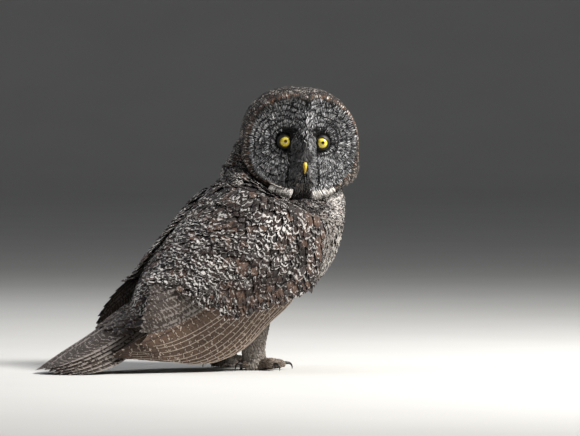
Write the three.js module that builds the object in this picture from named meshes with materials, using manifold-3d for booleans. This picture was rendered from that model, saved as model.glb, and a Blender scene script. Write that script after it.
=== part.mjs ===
// A great grey owl, life size, standing on level ground with folded wings, its head turned over its
// right side. Millimetres. +X is the way the breast faces, +Y is the bird's left, +Z is up, and the floor
// is at z = 0. It is built round a point between the feet, and then its outer box is centred on x = y = 0.
import * as THREE from "three";
import { mergeVertices } from "three/addons/utils/BufferGeometryUtils.js";
import Module from "manifold-3d";

const wasm = await Module();
wasm.setup();

// Driving dimensions
const GAP = 0.35; // between neighbouring nodes
const FACET = 0.25; // allowance for the flats of a faceted curve
const SEAM = GAP + FACET; // what a curved neighbour is grown by before it is cut away
const HEAD = {
  centre: [55, -7, 311],
  yaw: -110, // degrees about +Z: the face looks over the right side
  roll: -2.5, // degrees, the bird's left eye a little lower
  pitch: 2, // degrees, the face tipped down
  discWide: 78, // half width of the facial disc
  discUp: 71, // from the middle of the face to the top of the disc
  discDown: 63, // and to its foot
  faceOut: 50, // how far the middle of the face stands out from the centre of the head
  backOut: 80, // and the back of the head
};
const EYE = { apart: 53, up: 7, radius: 11, out: 32.5, window: 42 };
const LID = 1.4; // thickness of the lids
const BILL = { length: 31, wide: 11, deep: 15, up: -14, out: 56 };
const NOSTRIL = { radius: 1.3, side: 4.4, up: -21, out: 60 };
const FOOT = { x: -32, y: 41, toe: 38, toeThick: 8, claw: 23, clawThick: 3.2 };
const LEG = { top: 84, ankle: 17, thigh: 25, shank: 14 };
const TAIL = { pairs: 6, wide: 46, arch: 80, roll: -18 };
const WING = { primaries: 8, secondaries: 7, tertials: 3 };
const VANE = 0.6; // thickness of a feather's vane
const DECK = VANE + GAP; // from one vane of a stack to the next

// The plumage is shaped on sections along a centre line in the middle plane, from the neck to the tip of
// the tail. Each gives its centre, then the reach of the body above and below it and its half width,
// then how far the folded wing reaches over the back, stands out and hangs down there.
const STATIONS = [
  { x: 40, z: 276, back: 54, belly: 78, side: 72, over: 53, out: 72, hang: 50 },
  { x: 27, z: 236, back: 67, belly: 98, side: 87, over: 72, out: 90, hang: 60 },
  { x: 4, z: 198, back: 92, belly: 106, side: 90, over: 96, out: 100, hang: 74 },
  { x: -32, z: 166, back: 92, belly: 94, side: 84, over: 95, out: 100, hang: 90 },
  { x: -76, z: 138, back: 84, belly: 72, side: 72, over: 83, out: 97, hang: 88 },
  { x: -122, z: 112, back: 67, belly: 46, side: 58, over: 67, out: 90, hang: 98 },
  { x: -168, z: 86, back: 52, belly: 30, side: 46, over: 54, out: 79, hang: 91 },
  { x: -218, z: 58, back: 38, belly: 20, side: 38, over: 49, out: 70, hang: 62 },
  { x: -270, z: 32, back: 16, belly: 8, side: 20, over: 40, out: 58, hang: 31 },
  { x: -324, z: 10, back: 6, belly: 4, side: 10, over: 23, out: 42, hang: 7 },
];
const TORSO_ENDS = [0.9, 6.2]; // stations where the torso begins and ends

// Small helpers
const V = (x, y, z) => new THREE.Vector3(x, y, z);
const rad = THREE.MathUtils.degToRad;
const lerp = THREE.MathUtils.lerp;
const clamp = THREE.MathUtils.clamp;
const smooth = (x, low, high) => THREE.MathUtils.smoothstep(x, low, high);
const steps = (count) => Array.from({ length: count }, (_, i) => i);
const bell = (x, middle, width) => Math.exp(-(((x - middle) / width) ** 2));

// Solids. A closed mesh is given as points and triangles and turned to face outwards.
function solid(points, triangles) {
  const make = (tris) =>
    new wasm.Manifold(
      new wasm.Mesh({
        numProp: 3,
        vertProperties: new Float32Array(points.flatMap((p) => [p.x, p.y, p.z])),
        triVerts: new Uint32Array(tris.flat()),
      }),
    );
  const made = make(triangles);
  return made.volume() < 0 ? make(triangles.map(([a, b, c]) => [a, c, b])) : made;
}

function solidOfGeometry(geometry) {
  const bare = new THREE.BufferGeometry();
  bare.setAttribute("position", geometry.getAttribute("position").clone());
  if (geometry.index) bare.setIndex(geometry.index.clone());
  const merged = mergeVertices(bare, 1e-4);
  const position = merged.getAttribute("position");
  const points = steps(position.count).map((i) => V().fromBufferAttribute(position, i));
  const index = merged.index.array;
  const triangles = steps(index.length / 3)
    .map((i) => [index[3 * i], index[3 * i + 1], index[3 * i + 2]])
    .filter(([a, b, c]) => a !== b && b !== c && c !== a);
  return solid(points, triangles);
}

function geometryOf(made) {
  const mesh = made.getMesh();
  const flat = new Float32Array(mesh.numVert * 3);
  for (let i = 0; i < mesh.numVert; i++) {
    flat.set(mesh.vertProperties.subarray(i * mesh.numProp, i * mesh.numProp + 3), i * 3);
  }
  const geometry = new THREE.BufferGeometry();
  geometry.setAttribute("position", new THREE.BufferAttribute(flat, 3));
  geometry.setIndex(new THREE.BufferAttribute(new Uint32Array(mesh.triVerts), 1));
  geometry.computeVertexNormals();
  return geometry;
}

const united = (solids) => wasm.Manifold.union(solids);

function largest(made) {
  const bodies = made.decompose().sort((a, b) => b.volume() - a.volume());
  return bodies[0];
}

// A body lofted through closed rings of points, with a fan over each end
function loft(rings) {
  const around = rings[0].length;
  const points = rings.flat();
  const triangles = [];
  for (let i = 0; i + 1 < rings.length; i++) {
    for (let j = 0; j < around; j++) {
      const next = (j + 1) % around;
      const [a, b] = [i * around + j, i * around + next];
      const [c, d] = [a + around, b + around];
      triangles.push([a, b, d], [a, d, c]);
    }
  }
  for (const [ring, start, turned] of [
    [rings[0], 0, true],
    [rings.at(-1), (rings.length - 1) * around, false],
  ]) {
    const middle = points.length;
    points.push(ring.reduce((sum, p) => sum.add(p), V(0, 0, 0)).divideScalar(around));
    for (let j = 0; j < around; j++) {
      const [a, b] = [start + j, start + ((j + 1) % around)];
      triangles.push(turned ? [middle, b, a] : [middle, a, b]);
    }
  }
  return solid(points, triangles);
}

// A thin curved plate between two grids of points, its upper and under face, split alike on both
function plate(upper, under) {
  const across = upper[0].length;
  const points = [...upper.flat(), ...under.flat()];
  const below = upper.length * across;
  const at = (i, j) => i * across + j;
  const triangles = [];
  const quad = (a, b, c, d) => triangles.push([a, b, c], [a, c, d]);
  for (let i = 0; i + 1 < upper.length; i++) {
    for (let j = 0; j + 1 < across; j++) {
      const [a, b, c, d] = [at(i, j), at(i, j + 1), at(i + 1, j + 1), at(i + 1, j)];
      quad(a, b, c, d);
      triangles.push([a + below, c + below, b + below], [a + below, d + below, c + below]);
    }
    const last = across - 1;
    quad(at(i, 0), at(i + 1, 0), at(i + 1, 0) + below, at(i, 0) + below);
    quad(at(i + 1, last), at(i, last), at(i, last) + below, at(i + 1, last) + below);
  }
  const end = upper.length - 1;
  for (let j = 0; j + 1 < across; j++) {
    quad(at(0, j + 1), at(0, j), at(0, j) + below, at(0, j + 1) + below);
    quad(at(end, j), at(end, j + 1), at(end, j + 1) + below, at(end, j) + below);
  }
  return solid(points, triangles);
}

// A column of the stations at any place s, counted in stations
function along(values, s) {
  const last = values.length - 1;
  const i = clamp(Math.floor(s), 0, last - 1);
  const f = s - i;
  const [a, b, c, d] = [-1, 0, 1, 2].map((k) => values[clamp(i + k, 0, last)]);
  return b + 0.5 * f * (c - a + f * (2 * a - 5 * b + 4 * c - d + f * (3 * (b - c) + d - a)));
}

const column = (name, s) => along(STATIONS.map((station) => station[name]), s);

function section(s) {
  const centre = V(column("x", s), 0, column("z", s));
  const step = 0.05;
  const [x, z] = ["x", "z"].map((name) => column(name, s + step) - column(name, s - step));
  const tangent = V(x, 0, z).normalize();
  return { centre, up: V(tangent.z, 0, -tangent.x) };
}

// The shoulder below the face hangs lower: stations near the top slide down the body there
const SHOULDER = { turn: rad(-75), spread: 0.35, drop: 0.46, until: 2.2 };

function slid(s, turn) {
  const near = bell(1 - Math.cos(turn - SHOULDER.turn), 0, SHOULDER.spread);
  return s + SHOULDER.drop * near * (1 - smooth(s, TORSO_ENDS[0], SHOULDER.until));
}

// A point on the body at angle turn from the back, 0 to 2 pi, at a share of its reach and lift outside that
function bodyPoint(station, turn, share, lift) {
  const s = slid(station, turn);
  const { centre, up } = section(s);
  const rise = Math.cos(turn);
  const reach = column(rise > 0 ? "back" : "belly", s) * share + lift;
  const wide = column("side", s) * share + lift;
  return centre.addScaledVector(up, rise * reach).add(V(0, Math.sin(turn) * wide, 0));
}

// A point on the folded wing of one side: q is 0 on the middle of the back, 0.5 at the side and 1 at the
// lower edge. Near the floor the wing bends to keep clear of it.
const WING_TUCK = 0.1;
const CLEAR = { above: 9, least: 2.5 };

function wingPoint(side, s, q, lift) {
  const { centre, up } = section(s);
  const over = column("over", s) + lift;
  const out = column("out", s) + lift;
  const fall = Math.max(0, 2 * q - 1);
  const turn = Math.PI * Math.min(q, 0.5);
  const rise = q < 0.5 ? over * Math.cos(turn) : -column("hang", s) * fall;
  const stand = q < 0.5 ? out * Math.sin(turn) : out * (1 - WING_TUCK * fall * fall);
  const point = centre.addScaledVector(up, rise).add(V(0, side * stand, 0));
  const room = CLEAR.above - CLEAR.least;
  if (point.z < CLEAR.above) point.z = CLEAR.least + room * Math.exp((point.z - CLEAR.above) / room);
  return point;
}

// Torso, rounded off at both ends
const TORSO_RINGS = [0.8, 0.86, 1, 1.3, 1.8, 2.3, 2.8, 3.4, 4, 4.6, 5.2, 5.8, 6.4, 6.75, 6.95];
const TORSO_TAPER = { front: [0.66, 1], rear: [4.9, 7] };
const PITCH = 45; // least distance between two stations

function torsoSolid(grow = 0) {
  const around = 32;
  const { front, rear } = TORSO_TAPER;
  const rings = TORSO_RINGS.map((s) => {
    const end = (s > TORSO_ENDS[1]) - (s < TORSO_ENDS[0]); // the rounded ends grow along the body too
    const share = Math.sqrt((1 - smooth(s, ...rear) ** 2) * (1 - (1 - smooth(s, ...front)) ** 2));
    const at = s + (end * grow) / PITCH;
    return steps(around).map((j) => bodyPoint(at, (j / around) * 2 * Math.PI, share, grow));
  });
  return loft(rings);
}

// Head. Points are given in the head's own directions: out through the face, to the bird's left, and up.
const headTurn = new THREE.Matrix4().makeRotationFromEuler(
  new THREE.Euler(rad(HEAD.roll), rad(HEAD.pitch), rad(HEAD.yaw), "ZYX"),
);
const headPlace = headTurn.clone().setPosition(V(...HEAD.centre));
const inHead = (out, left, up) => V(out, left, up).applyMatrix4(headPlace);

// The rim of the facial disc at angle turn from its top: a round squarer than an ellipse, with a notch at
// the crown and a shallower one at the chin
const DISC = { power: 2.3, notch: 5, chin: 0.4, narrow: 0.16 };

function discRim(turn) {
  const rise = Math.cos(turn);
  const reach = rise > 0 ? HEAD.discUp : HEAD.discDown;
  const notch = DISC.notch * bell(Math.sin(turn), 0, DISC.narrow) * (rise > 0 ? 1 : DISC.chin);
  const wide = (Math.abs(Math.sin(turn)) / HEAD.discWide) ** DISC.power;
  const high = (Math.abs(rise) / reach) ** DISC.power;
  return (wide + high) ** (-1 / DISC.power) - notch;
}

// How far the face stands out at a place on it: swept back at the sides, dished round each eye, and with a
// ridge between
const FACE = {
  sweep: { left: 0.0038, up: 0.0016 }, // falls back with the square of the reach
  dish: { deep: 9, from: 8, wide: 26 },
  ridge: { high: 7, wide: 9, foot: -34, top: -8 },
  brow: { high: 5, left: 14, up: 24, wide: 15 },
  chin: { high: 6, up: -36, wide: 18 },
};

function faceOut(left, up) {
  const { sweep, dish, ridge, brow, chin } = FACE;
  const back = sweep.left * left * left + sweep.up * up * up;
  const fromEye = Math.hypot(Math.abs(left) - EYE.apart / 2, (up - EYE.up) * 0.9);
  const hollow = dish.deep * bell(fromEye, dish.from, dish.wide);
  const keel = ridge.high * bell(left, 0, ridge.wide) * smooth(up, ridge.foot, ridge.top);
  const overEye = brow.high * bell(Math.hypot(Math.abs(left) - brow.left, up - brow.up), 0, brow.wide);
  const underBill = chin.high * bell(Math.hypot(left * 0.8, up - chin.up), 0, chin.wide);
  return HEAD.faceOut - back - hollow + keel + overEye + underBill;
}

const RIM_LIP = 4; // the rim of the disc stands this far out of the face
const SWELL = { all: 0.07, crown: 0.23 }; // how much wider than the disc the head grows behind it
const CHEEK = { both: 0.17, left: 0.29 }; // swell behind the disc's lower rim, fuller on the far side

function headRings(grow) {
  const around = 36;
  const turns = steps(around).map((j) => (j / around) * 2 * Math.PI);
  const shares = [0.16, 0.32, 0.48, 0.64, 0.8, 0.93, 1];
  const front = shares.map((share) =>
    turns.map((turn) => {
      const reach = discRim(turn) * share + grow * share;
      const [left, up] = [Math.sin(turn) * reach, Math.cos(turn) * reach];
      const lip = RIM_LIP * smooth(share, 0.86, 0.97);
      return inHead(faceOut(left, up) + lip + grow, left, up);
    }),
  );
  const back = steps(8).map((i) => {
    const bend = ((i + 1) / 8.5) * (Math.PI / 2);
    return turns.map((turn) => {
      const rim = discRim(turn);
      const rimOut = faceOut(Math.sin(turn) * rim, Math.cos(turn) * rim) + RIM_LIP;
      const rise = Math.cos(turn);
      const cheek = CHEEK.both + (CHEEK.left - CHEEK.both) * smooth(Math.sin(turn), 0.3, 0.9);
      const fuller = SWELL.all + SWELL.crown * Math.max(0, rise) + cheek * bell(rise, -0.4, 0.4);
      const swell = 1 + fuller * Math.sin(2 * bend);
      const reach = rim * swell * Math.cos(bend) ** 0.62 + grow;
      const out = rimOut - (rimOut + HEAD.backOut + grow) * Math.sin(bend);
      return inHead(out, Math.sin(turn) * reach, Math.cos(turn) * reach);
    });
  });
  return [...front, ...back];
}

const headSolid = (grow = 0) => loft(headRings(grow));

const eyeCentre = (side) => inHead(EYE.out, (side * EYE.apart) / 2, EYE.up);

function ballSolid(centre, radius, around = 16, down = 10) {
  const geometry = new THREE.SphereGeometry(radius, around, down);
  geometry.applyMatrix4(headTurn.clone().multiply(new THREE.Matrix4().makeRotationZ(-Math.PI / 2)));
  geometry.translate(centre.x, centre.y, centre.z);
  return solidOfGeometry(geometry);
}

// A lid is a shell over the eye, open in front by a round window a little wider than the iris
function lidSolid(side) {
  const centre = eyeCentre(side);
  const inner = EYE.radius + SEAM;
  const outer = inner + LID;
  const around = 18;
  const rim = 88; // degrees from the front to the hidden edge of the shell
  const ring = (radius, polar) =>
    steps(around).map((j) => {
      const turn = (j / around) * 2 * Math.PI;
      const upper = 1 - 0.12 * Math.max(0, Math.cos(turn)); // the upper lid comes a little lower
      const angle = rad(polar) * upper;
      const [out, wide] = [Math.cos(angle) * radius, Math.sin(angle) * radius];
      return V(out, Math.sin(turn) * wide, Math.cos(turn) * wide).applyMatrix4(headTurn).add(centre);
    });
  const middle = (EYE.window + rim) / 2;
  const polars = [EYE.window, middle, rim];
  const inside = polars.map((polar) => ring(inner, polar));
  const rings = [...inside, ...polars.reverse().map((polar) => ring(outer, polar))];
  const points = rings.flat();
  const triangles = [];
  rings.forEach((_, i) => {
    const after = (i + 1) % rings.length;
    for (let j = 0; j < around; j++) {
      const next = (j + 1) % around;
      const [a, b] = [i * around + j, i * around + next];
      const [c, d] = [after * around + j, after * around + next];
      triangles.push([a, b, d], [a, d, c]);
    }
  });
  return solid(points, triangles);
}

// The bill: an upper half that hooks down over a shorter lower one, the line of the mouth between them
function billSolid(upper, grow = 0) {
  const count = 8;
  const around = 10;
  const rings = steps(count).map((i) => {
    const f = i / (count - 1);
    const bend = upper ? rad(lerp(-4, 96, f ** 1.1)) : rad(lerp(24, 62, f));
    const length = BILL.length * (upper ? 1 : 0.66);
    const out = BILL.out - 8 + length * Math.sin(Math.min(bend + 0.3, 1.5)) * 0.62 * (1 - 0.25 * f);
    const up = BILL.up - length * f * (upper ? 0.86 : 0.6) - (upper ? 0 : 9.5);
    const narrow = 1 - 0.93 * f ** 1.5;
    const wide = (BILL.wide / 2) * narrow * (upper ? 1 : 0.8) + grow;
    const deep = (BILL.deep / 2) * narrow * (upper ? 0.62 : 0.34) + grow;
    const forward = V(Math.sin(bend * 0.6), 0, Math.cos(bend * 0.6));
    const end = i === 0 ? grow : i === count - 1 ? -grow : 0;
    return steps(around).map((j) => {
      const turn = (j / around) * 2 * Math.PI;
      const front = Math.cos(turn) * deep;
      return inHead(out + forward.z * front * 0.9, Math.sin(turn) * wide, up + forward.x * front + end);
    });
  });
  return loft(rings);
}

function nostril(side) {
  const { out, side: apart, up, radius } = NOSTRIL;
  return ballSolid(inHead(out, side * apart, up), radius, 8, 5);
}

// Neck: a thick collar of plumage, twisted with the head. Low under the chin, it rises to the nape behind.
// Each ring has a mean height and leans up towards the back by a share of its reach.
const NECK = [
  { z: 256, lean: 0.3, wide: 87, front: 34, nape: 81 },
  { z: 270, lean: 0.18, wide: 82, front: 25, nape: 76 },
  { z: 292, lean: 0.08, wide: 74, front: 17, nape: 70 },
  { z: 316, lean: 0, wide: 65, front: 13, nape: 66 },
  { z: 336, lean: 0, wide: 46, front: 10, nape: 50 },
];
const NECK_AXIS = [36, 3];
// It starts on the body at these stations, at a share of the body's reach, and the nape adds to that.
const NECK_FOOT = [
  { s: 1.75, share: 0.97, nape: 0 },
  { s: 1.3, share: 0.99, nape: 0.13 },
  { s: 0.86, share: 1, nape: 0.26 },
];
const NAPE_TURN = rad(20); // where the nape is fullest, on the side away from the face

function neckBody(grow = 0) {
  const around = 26;
  const turns = steps(around).map((j) => (j / around) * 2 * Math.PI);
  const behind = (turn) => Math.max(0, Math.cos(turn - NAPE_TURN)) ** 2;
  const foot = NECK_FOOT.map(({ s, share, nape }) =>
    turns.map((turn) => bodyPoint(s, turn, share + nape * behind(turn), grow)),
  );
  const top = NECK.map(({ z, lean, wide, front, nape }) =>
    turns.map((turn) => {
      const facing = Math.PI - turn - rad(HEAD.yaw);
      const deep = Math.cos(facing) > 0 ? front : nape;
      const reach = Math.hypot(Math.cos(facing) / deep, Math.sin(facing) / wide) ** -1 + grow;
      const rise = lean * Math.cos(turn) * reach;
      return V(NECK_AXIS[0] - Math.cos(turn) * reach, NECK_AXIS[1] + Math.sin(turn) * reach, z + rise);
    }),
  );
  return loft([...foot, ...top]);
}

// Feathers. A vane runs from a root to a tip over a surface(s, q, lift). Each keeps one height over it, so
// the vanes of a stack lie one on another like cards and never cross.
function vaneOn(surface, { root, tip, bow = 0, wide, lift, rows = 5, blunt = 0.42 }) {
  const upper = [];
  const under = [];
  for (let i = 0; i <= rows; i++) {
    const f = 1 - (1 - i / rows) ** 1.4;
    const s = lerp(root[0], tip[0], f);
    const q = lerp(root[1], tip[1], f) + bow * Math.sin(Math.PI * f);
    const taper = lerp(0.6, 1, smooth(f, 0, 0.3)) * (1 - (1 - blunt) * smooth(f, 0.72, 1) ** 1.5);
    const half = (wide / 2) * taper;
    const way = [tip[0] - root[0], tip[1] - root[1] + bow * Math.PI * Math.cos(Math.PI * f)];
    const [aside, across] = sideStep(surface, s, q, way);
    const places = [-half, 0, half].map((reach) => [s + aside * reach, q + across * reach]);
    upper.push(places.map((place) => surface(...place, lift)));
    under.push(places.map((place) => surface(...place, lift - VANE)));
  }
  return plate(upper, under);
}

// The step in s and q that goes one millimetre sideways from a way over the surface
function sideStep(surface, s, q, way) {
  const step = 0.02;
  const alongS = surface(s + step, q, 0).sub(surface(s - step, q, 0)).divideScalar(2 * step);
  const alongQ = surface(s, q + step, 0).sub(surface(s, q - step, 0)).divideScalar(2 * step);
  const shaft = alongS.clone().multiplyScalar(way[0]).addScaledVector(alongQ, way[1]);
  const sideways = alongS.clone().cross(alongQ).cross(shaft).normalize();
  const [a, b, c] = [alongS.dot(alongS), alongS.dot(alongQ), alongQ.dot(alongQ)];
  const [u, v] = [sideways.dot(alongS), sideways.dot(alongQ)];
  const scale = a * c - b * b;
  return [(c * u - b * v) / scale, (a * v - b * u) / scale];
}

// A place between the listed ones, each a pair of s and q
const between = (places, t) => {
  const at = clamp(t, 0, 1) * (places.length - 1);
  return [0, 1].map((axis) => along(places.map((place) => place[axis]), at));
};

// The wing. Its scapulars and small coverts make one thick layer from the shoulder to a free scalloped
// edge, given by places of s and q along its root and along that edge.
const FLAP_ROOT = [[1.15, 0.8], [1.3, 0.55], [1.4, 0.34], [1.7, 0.18], [2.8, 0.1], [4.2, 0.06]];
const FLAP_EDGE = [[2.2, 0.93], [3.1, 0.87], [4.1, 0.8], [5.05, 0.7], [5.5, 0.5], [6.1, 0.1]];
const FLAP = { top: 5, under: -1, root: -8, scallops: 11, scallop: 0.05, rows: 8, dive: 14, rootDive: 3 };
const CORE = { top: 0.5, share: 0.8, rows: 6 };
const stackDepth = (WING.primaries + WING.secondaries + WING.tertials) * DECK;

function layerSolid(side, { columns, rows, reach, top, under }) {
  const grid = (lift) =>
    steps(columns + 1).map((i) => {
      const t = i / columns;
      const [root, edge] = [between(FLAP_ROOT, t), between(FLAP_EDGE, t)];
      return steps(rows + 1).map((j) => {
        const f = j / rows;
        const far = f * reach(t, f);
        const [s, q] = [lerp(root[0], edge[0], far), lerp(root[1], edge[1], far)];
        return wingPoint(side, s, q, lift(f, t));
      });
    });
  return plate(grid(top), grid(under));
}

// The layer sinks into the breast in front and into the back along its root
const sinking = (f, t) => FLAP.dive * (1 - smooth(t, 0, 0.14)) + FLAP.rootDive * (1 - smooth(f, 0, 0.16));

const flapSolid = (side) =>
  layerSolid(side, {
    columns: FLAP.scallops * 2,
    rows: FLAP.rows,
    reach: (t, f) => 1 + FLAP.scallop * f ** 4 * (Math.abs(Math.sin(Math.PI * FLAP.scallops * t)) - 0.5),
    top: (f, t) => FLAP.top - sinking(f, t),
    under: (f, t) => lerp(FLAP.root, FLAP.under, smooth(f, 0.2, 0.8)) - sinking(f, t),
  });

const coreSolid = (side) =>
  layerSolid(side, {
    columns: 8,
    rows: CORE.rows,
    reach: () => CORE.share,
    top: () => CORE.top,
    under: (f) => -stackDepth - 1.5 + 4 * f,
  });

const PRIMARY = {
  root: [[2.3, 0.86], [3.0, 0.74]],
  tips: [[6.5, 0.92], [7.5, 0.86], [8.0, 0.74], [7.9, 0.62]],
};
const SECONDARY = {
  root: [[2.6, 0.8], [3.5, 0.5]],
  tips: [[5.5, 0.93], [6.5, 0.92], [7.15, 0.82], [7.3, 0.6]],
};
const TERTIAL = { root: [[3.4, 0.44], [3.2, 0.3]], tips: [[7.2, 0.46], [6.9, 0.34], [6.4, 0.22]] };

// One kind of flight feather, the first the outermost and deepest of its stack
function flightFeathers(side, count, deepest, kind, { wide, bow, blunt }) {
  return steps(count).map((k) => {
    const f = count > 1 ? k / (count - 1) : 0;
    const surface = (s, q, lift) => wingPoint(side, s, q, lift);
    const lift = deepest + (k + 1) * DECK;
    const [root, tip] = [between(kind.root, f), between(kind.tips, f)];
    return vaneOn(surface, { root, tip, bow, wide: wide(f), lift, blunt });
  });
}

function wingSolid(side) {
  const { primaries, secondaries, tertials } = WING;
  const feathers = [
    ...flightFeathers(side, primaries, -stackDepth, PRIMARY, {
      wide: (f) => lerp(26, 36, f),
      bow: 0.03,
      blunt: 0.35,
    }),
    ...flightFeathers(side, secondaries, -stackDepth + primaries * DECK, SECONDARY, {
      wide: () => 38,
      bow: 0.04,
      blunt: 0.5,
    }),
    ...flightFeathers(side, tertials, -tertials * DECK, TERTIAL, { wide: () => 42, bow: 0.02, blunt: 0.5 }),
  ];
  const bare = united([flapSolid(side), coreSolid(side), ...feathers]);
  return largest(bare.subtract(torsoSolid(SEAM)).subtract(neckBody(SEAM)));
}

// Tail: feathers fanned from the rump over an arched, rolled surface, the middle pair on top, and laid on
// the floor
const TAIL_LINE = [[-105, 138], [-180, 98], [-264, 48], [-350, 6]];

function tailPoint(s, q, lift) {
  const at = (share) => between(TAIL_LINE, share);
  const [x, z] = at(s);
  const [[xa, za], [xb, zb]] = [at(Math.max(0, s - 0.02)), at(Math.min(1, s + 0.02))];
  const way = V(xb - xa, 0, zb - za).normalize();
  const flat = 1 - 0.75 * smooth(s, 0.5, 1); // pressed flatter towards the floor
  const roll = rad(TAIL.roll) * flat;
  const up = V(way.z, 0, -way.x).applyAxisAngle(way, roll);
  const across = V(0, 1, 0).applyAxisAngle(way, roll);
  const drop = ((q * q) / (2 * TAIL.arch)) * flat;
  return V(x, 0, z)
    .addScaledVector(way, Math.max(0, s - 1) * 250)
    .addScaledVector(up, lift - drop)
    .addScaledVector(across, q);
}

function tailSolid() {
  const pieces = steps(2 * TAIL.pairs).map((k) => {
    const side = k % 2 ? 1 : -1;
    const rank = Math.floor(k / 2); // 0 for the middle pair
    const f = rank / (TAIL.pairs - 1);
    return vaneOn(tailPoint, {
      root: [0.08, side * lerp(4, 14, f)],
      tip: [lerp(0.985, 0.87, f * f), side * lerp(8, 50, f)],
      wide: lerp(TAIL.wide, TAIL.wide * 0.75, f),
      lift: -(k + 1) * DECK * 0.999,
      rows: 6,
      blunt: 0.5,
    });
  });
  const depth = 2 * TAIL.pairs * DECK;
  const half = 30;
  const rump = (lift) =>
    steps(4).map((i) => steps(7).map((j) => tailPoint(lerp(0, 0.3, i / 3), half * (j / 3 - 1), lift(i))));
  const root = plate(rump((i) => lerp(8, 1, i / 3)), rump((i) => -depth - lerp(10, 1.5, i / 3)));
  return largest(united([root, ...pieces]).subtract(torsoSolid(SEAM)).subtract(underFloor()));
}

function underFloor() {
  const geometry = new THREE.BoxGeometry(2000, 2000, 200);
  geometry.translate(0, 0, -100);
  return solidOfGeometry(geometry);
}

// Legs and feet
const TOES = [
  { name: "inner", turn: -16, share: 0.9 },
  { name: "middle", turn: 12, share: 1 },
  { name: "outer", turn: 78, share: 0.9 },
  { name: "hind", turn: 172, share: 0.62 },
];

function tube(stations, around = 8) {
  const curve = new THREE.CatmullRomCurve3(stations.map((station) => station.at));
  const rings = stations.map((station, i) => {
    const tangent = curve.getTangent(i / (stations.length - 1));
    const level = V(0, 0, 1).cross(tangent);
    const sideways = level.lengthSq() > 0.02 ? level.normalize() : V(0, 1, 0);
    const upward = tangent.clone().cross(sideways).normalize();
    return steps(around).map((j) => {
      const turn = (j / around) * 2 * Math.PI;
      return station.at
        .clone()
        .addScaledVector(sideways, Math.cos(turn) * station.thick)
        .addScaledVector(upward, Math.sin(turn) * station.thick);
    });
  });
  return loft(rings);
}

const footCentre = (side) => V(FOOT.x, side * FOOT.y, 0);
const toeWay = (side, toe) => V(Math.cos(rad(toe.turn)), side * Math.sin(rad(toe.turn)), 0);

function footSolid(side) {
  const centre = footCentre(side);
  const pad = tube(
    [
      { at: centre.clone().add(V(-9, 0, 8)), thick: 9 },
      { at: centre.clone().add(V(0, 0, 6)), thick: 12.5 },
      { at: centre.clone().add(V(8, 0, 8)), thick: 9 },
    ],
    12,
  );
  const toes = TOES.map((toe) => {
    const way = toeWay(side, toe);
    const length = FOOT.toe * toe.share;
    const at = (f, up) => centre.clone().addScaledVector(way, length * f).add(V(0, 0, up));
    return tube([
      { at: at(0.05, 7.5), thick: FOOT.toeThick },
      { at: at(0.4, 7.4), thick: FOOT.toeThick * 0.95 },
      { at: at(0.7, 7.7), thick: FOOT.toeThick },
      { at: at(0.95, 6.6), thick: FOOT.toeThick * 0.86 },
      { at: at(1.06, 6.2), thick: FOOT.toeThick * 0.5 },
    ]);
  });
  const ankle = loft(
    [LEG.ankle + 2, 10].map((z, i) =>
      steps(14).map((j) => {
        const turn = (j / 14) * 2 * Math.PI;
        const thick = LEG.shank - 1 + i;
        return centre.clone().add(V(-4 + Math.cos(turn) * thick, Math.sin(turn) * thick, z));
      }),
    ),
  );
  return united([pad, ankle, ...toes]);
}

function clawSolid(side, toe, grow = 0) {
  const centre = footCentre(side);
  const way = toeWay(side, toe);
  const start = FOOT.toe * toe.share * 0.92;
  const reach = FOOT.claw * (0.8 + 0.2 * toe.share);
  const count = 7;
  const stations = steps(count).map((i) => {
    const f = i / (count - 1);
    const bend = rad(lerp(-25, 72, f));
    const out = start + reach * 0.74 * Math.sin(rad(97) * f);
    const up = 7.2 + 3.2 * Math.sin(Math.PI * f) * Math.cos(bend * 0.2) - 6.6 * f * f;
    const thick = FOOT.clawThick * (1 - 0.8 * f) + grow;
    return { at: centre.clone().addScaledVector(way, i === 0 ? out - grow : out).add(V(0, 0, up)), thick };
  });
  return tube(stations);
}

function legSolid(side) {
  const foot = footCentre(side);
  const count = 6;
  const rings = steps(count).map((i) => {
    const f = i / (count - 1);
    const z = lerp(LEG.ankle + 2 + GAP, LEG.top, f);
    const thick = lerp(LEG.shank, LEG.thigh, smooth(f, 0.1, 0.9));
    return steps(18).map((j) => {
      const turn = (j / 18) * 2 * Math.PI;
      const centre = foot.clone().add(V(lerp(-4, -12, f), 0, z));
      return centre.add(V(Math.cos(turn) * thick * 1.15, Math.sin(turn) * thick, 0));
    });
  });
  return loft(rings);
}

// Colours
const coats = {
  grey: { color: 0x6b645e, roughness: 0.9 },
  brown: { color: 0x6a5242, roughness: 0.85 },
  pale: { color: 0x8d8780, roughness: 0.9 },
  eye: { color: 0xe8cf3a, roughness: 0.15 },
  lid: { color: 0x14110f, roughness: 0.6 },
  bill: { color: 0xc9a632, roughness: 0.4 },
  claw: { color: 0x17140f, roughness: 0.35 },
};
const finish = (look) => new THREE.MeshStandardMaterial({ ...look, metalness: 0 });
const materials = Object.fromEntries(Object.entries(coats).map(([name, look]) => [name, finish(look)]));

// Assembly
const owl = new THREE.Group();

function add(name, made, coat) {
  const mesh = new THREE.Mesh(geometryOf(made), materials[coat]);
  mesh.name = name;
  owl.add(mesh);
}

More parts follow.
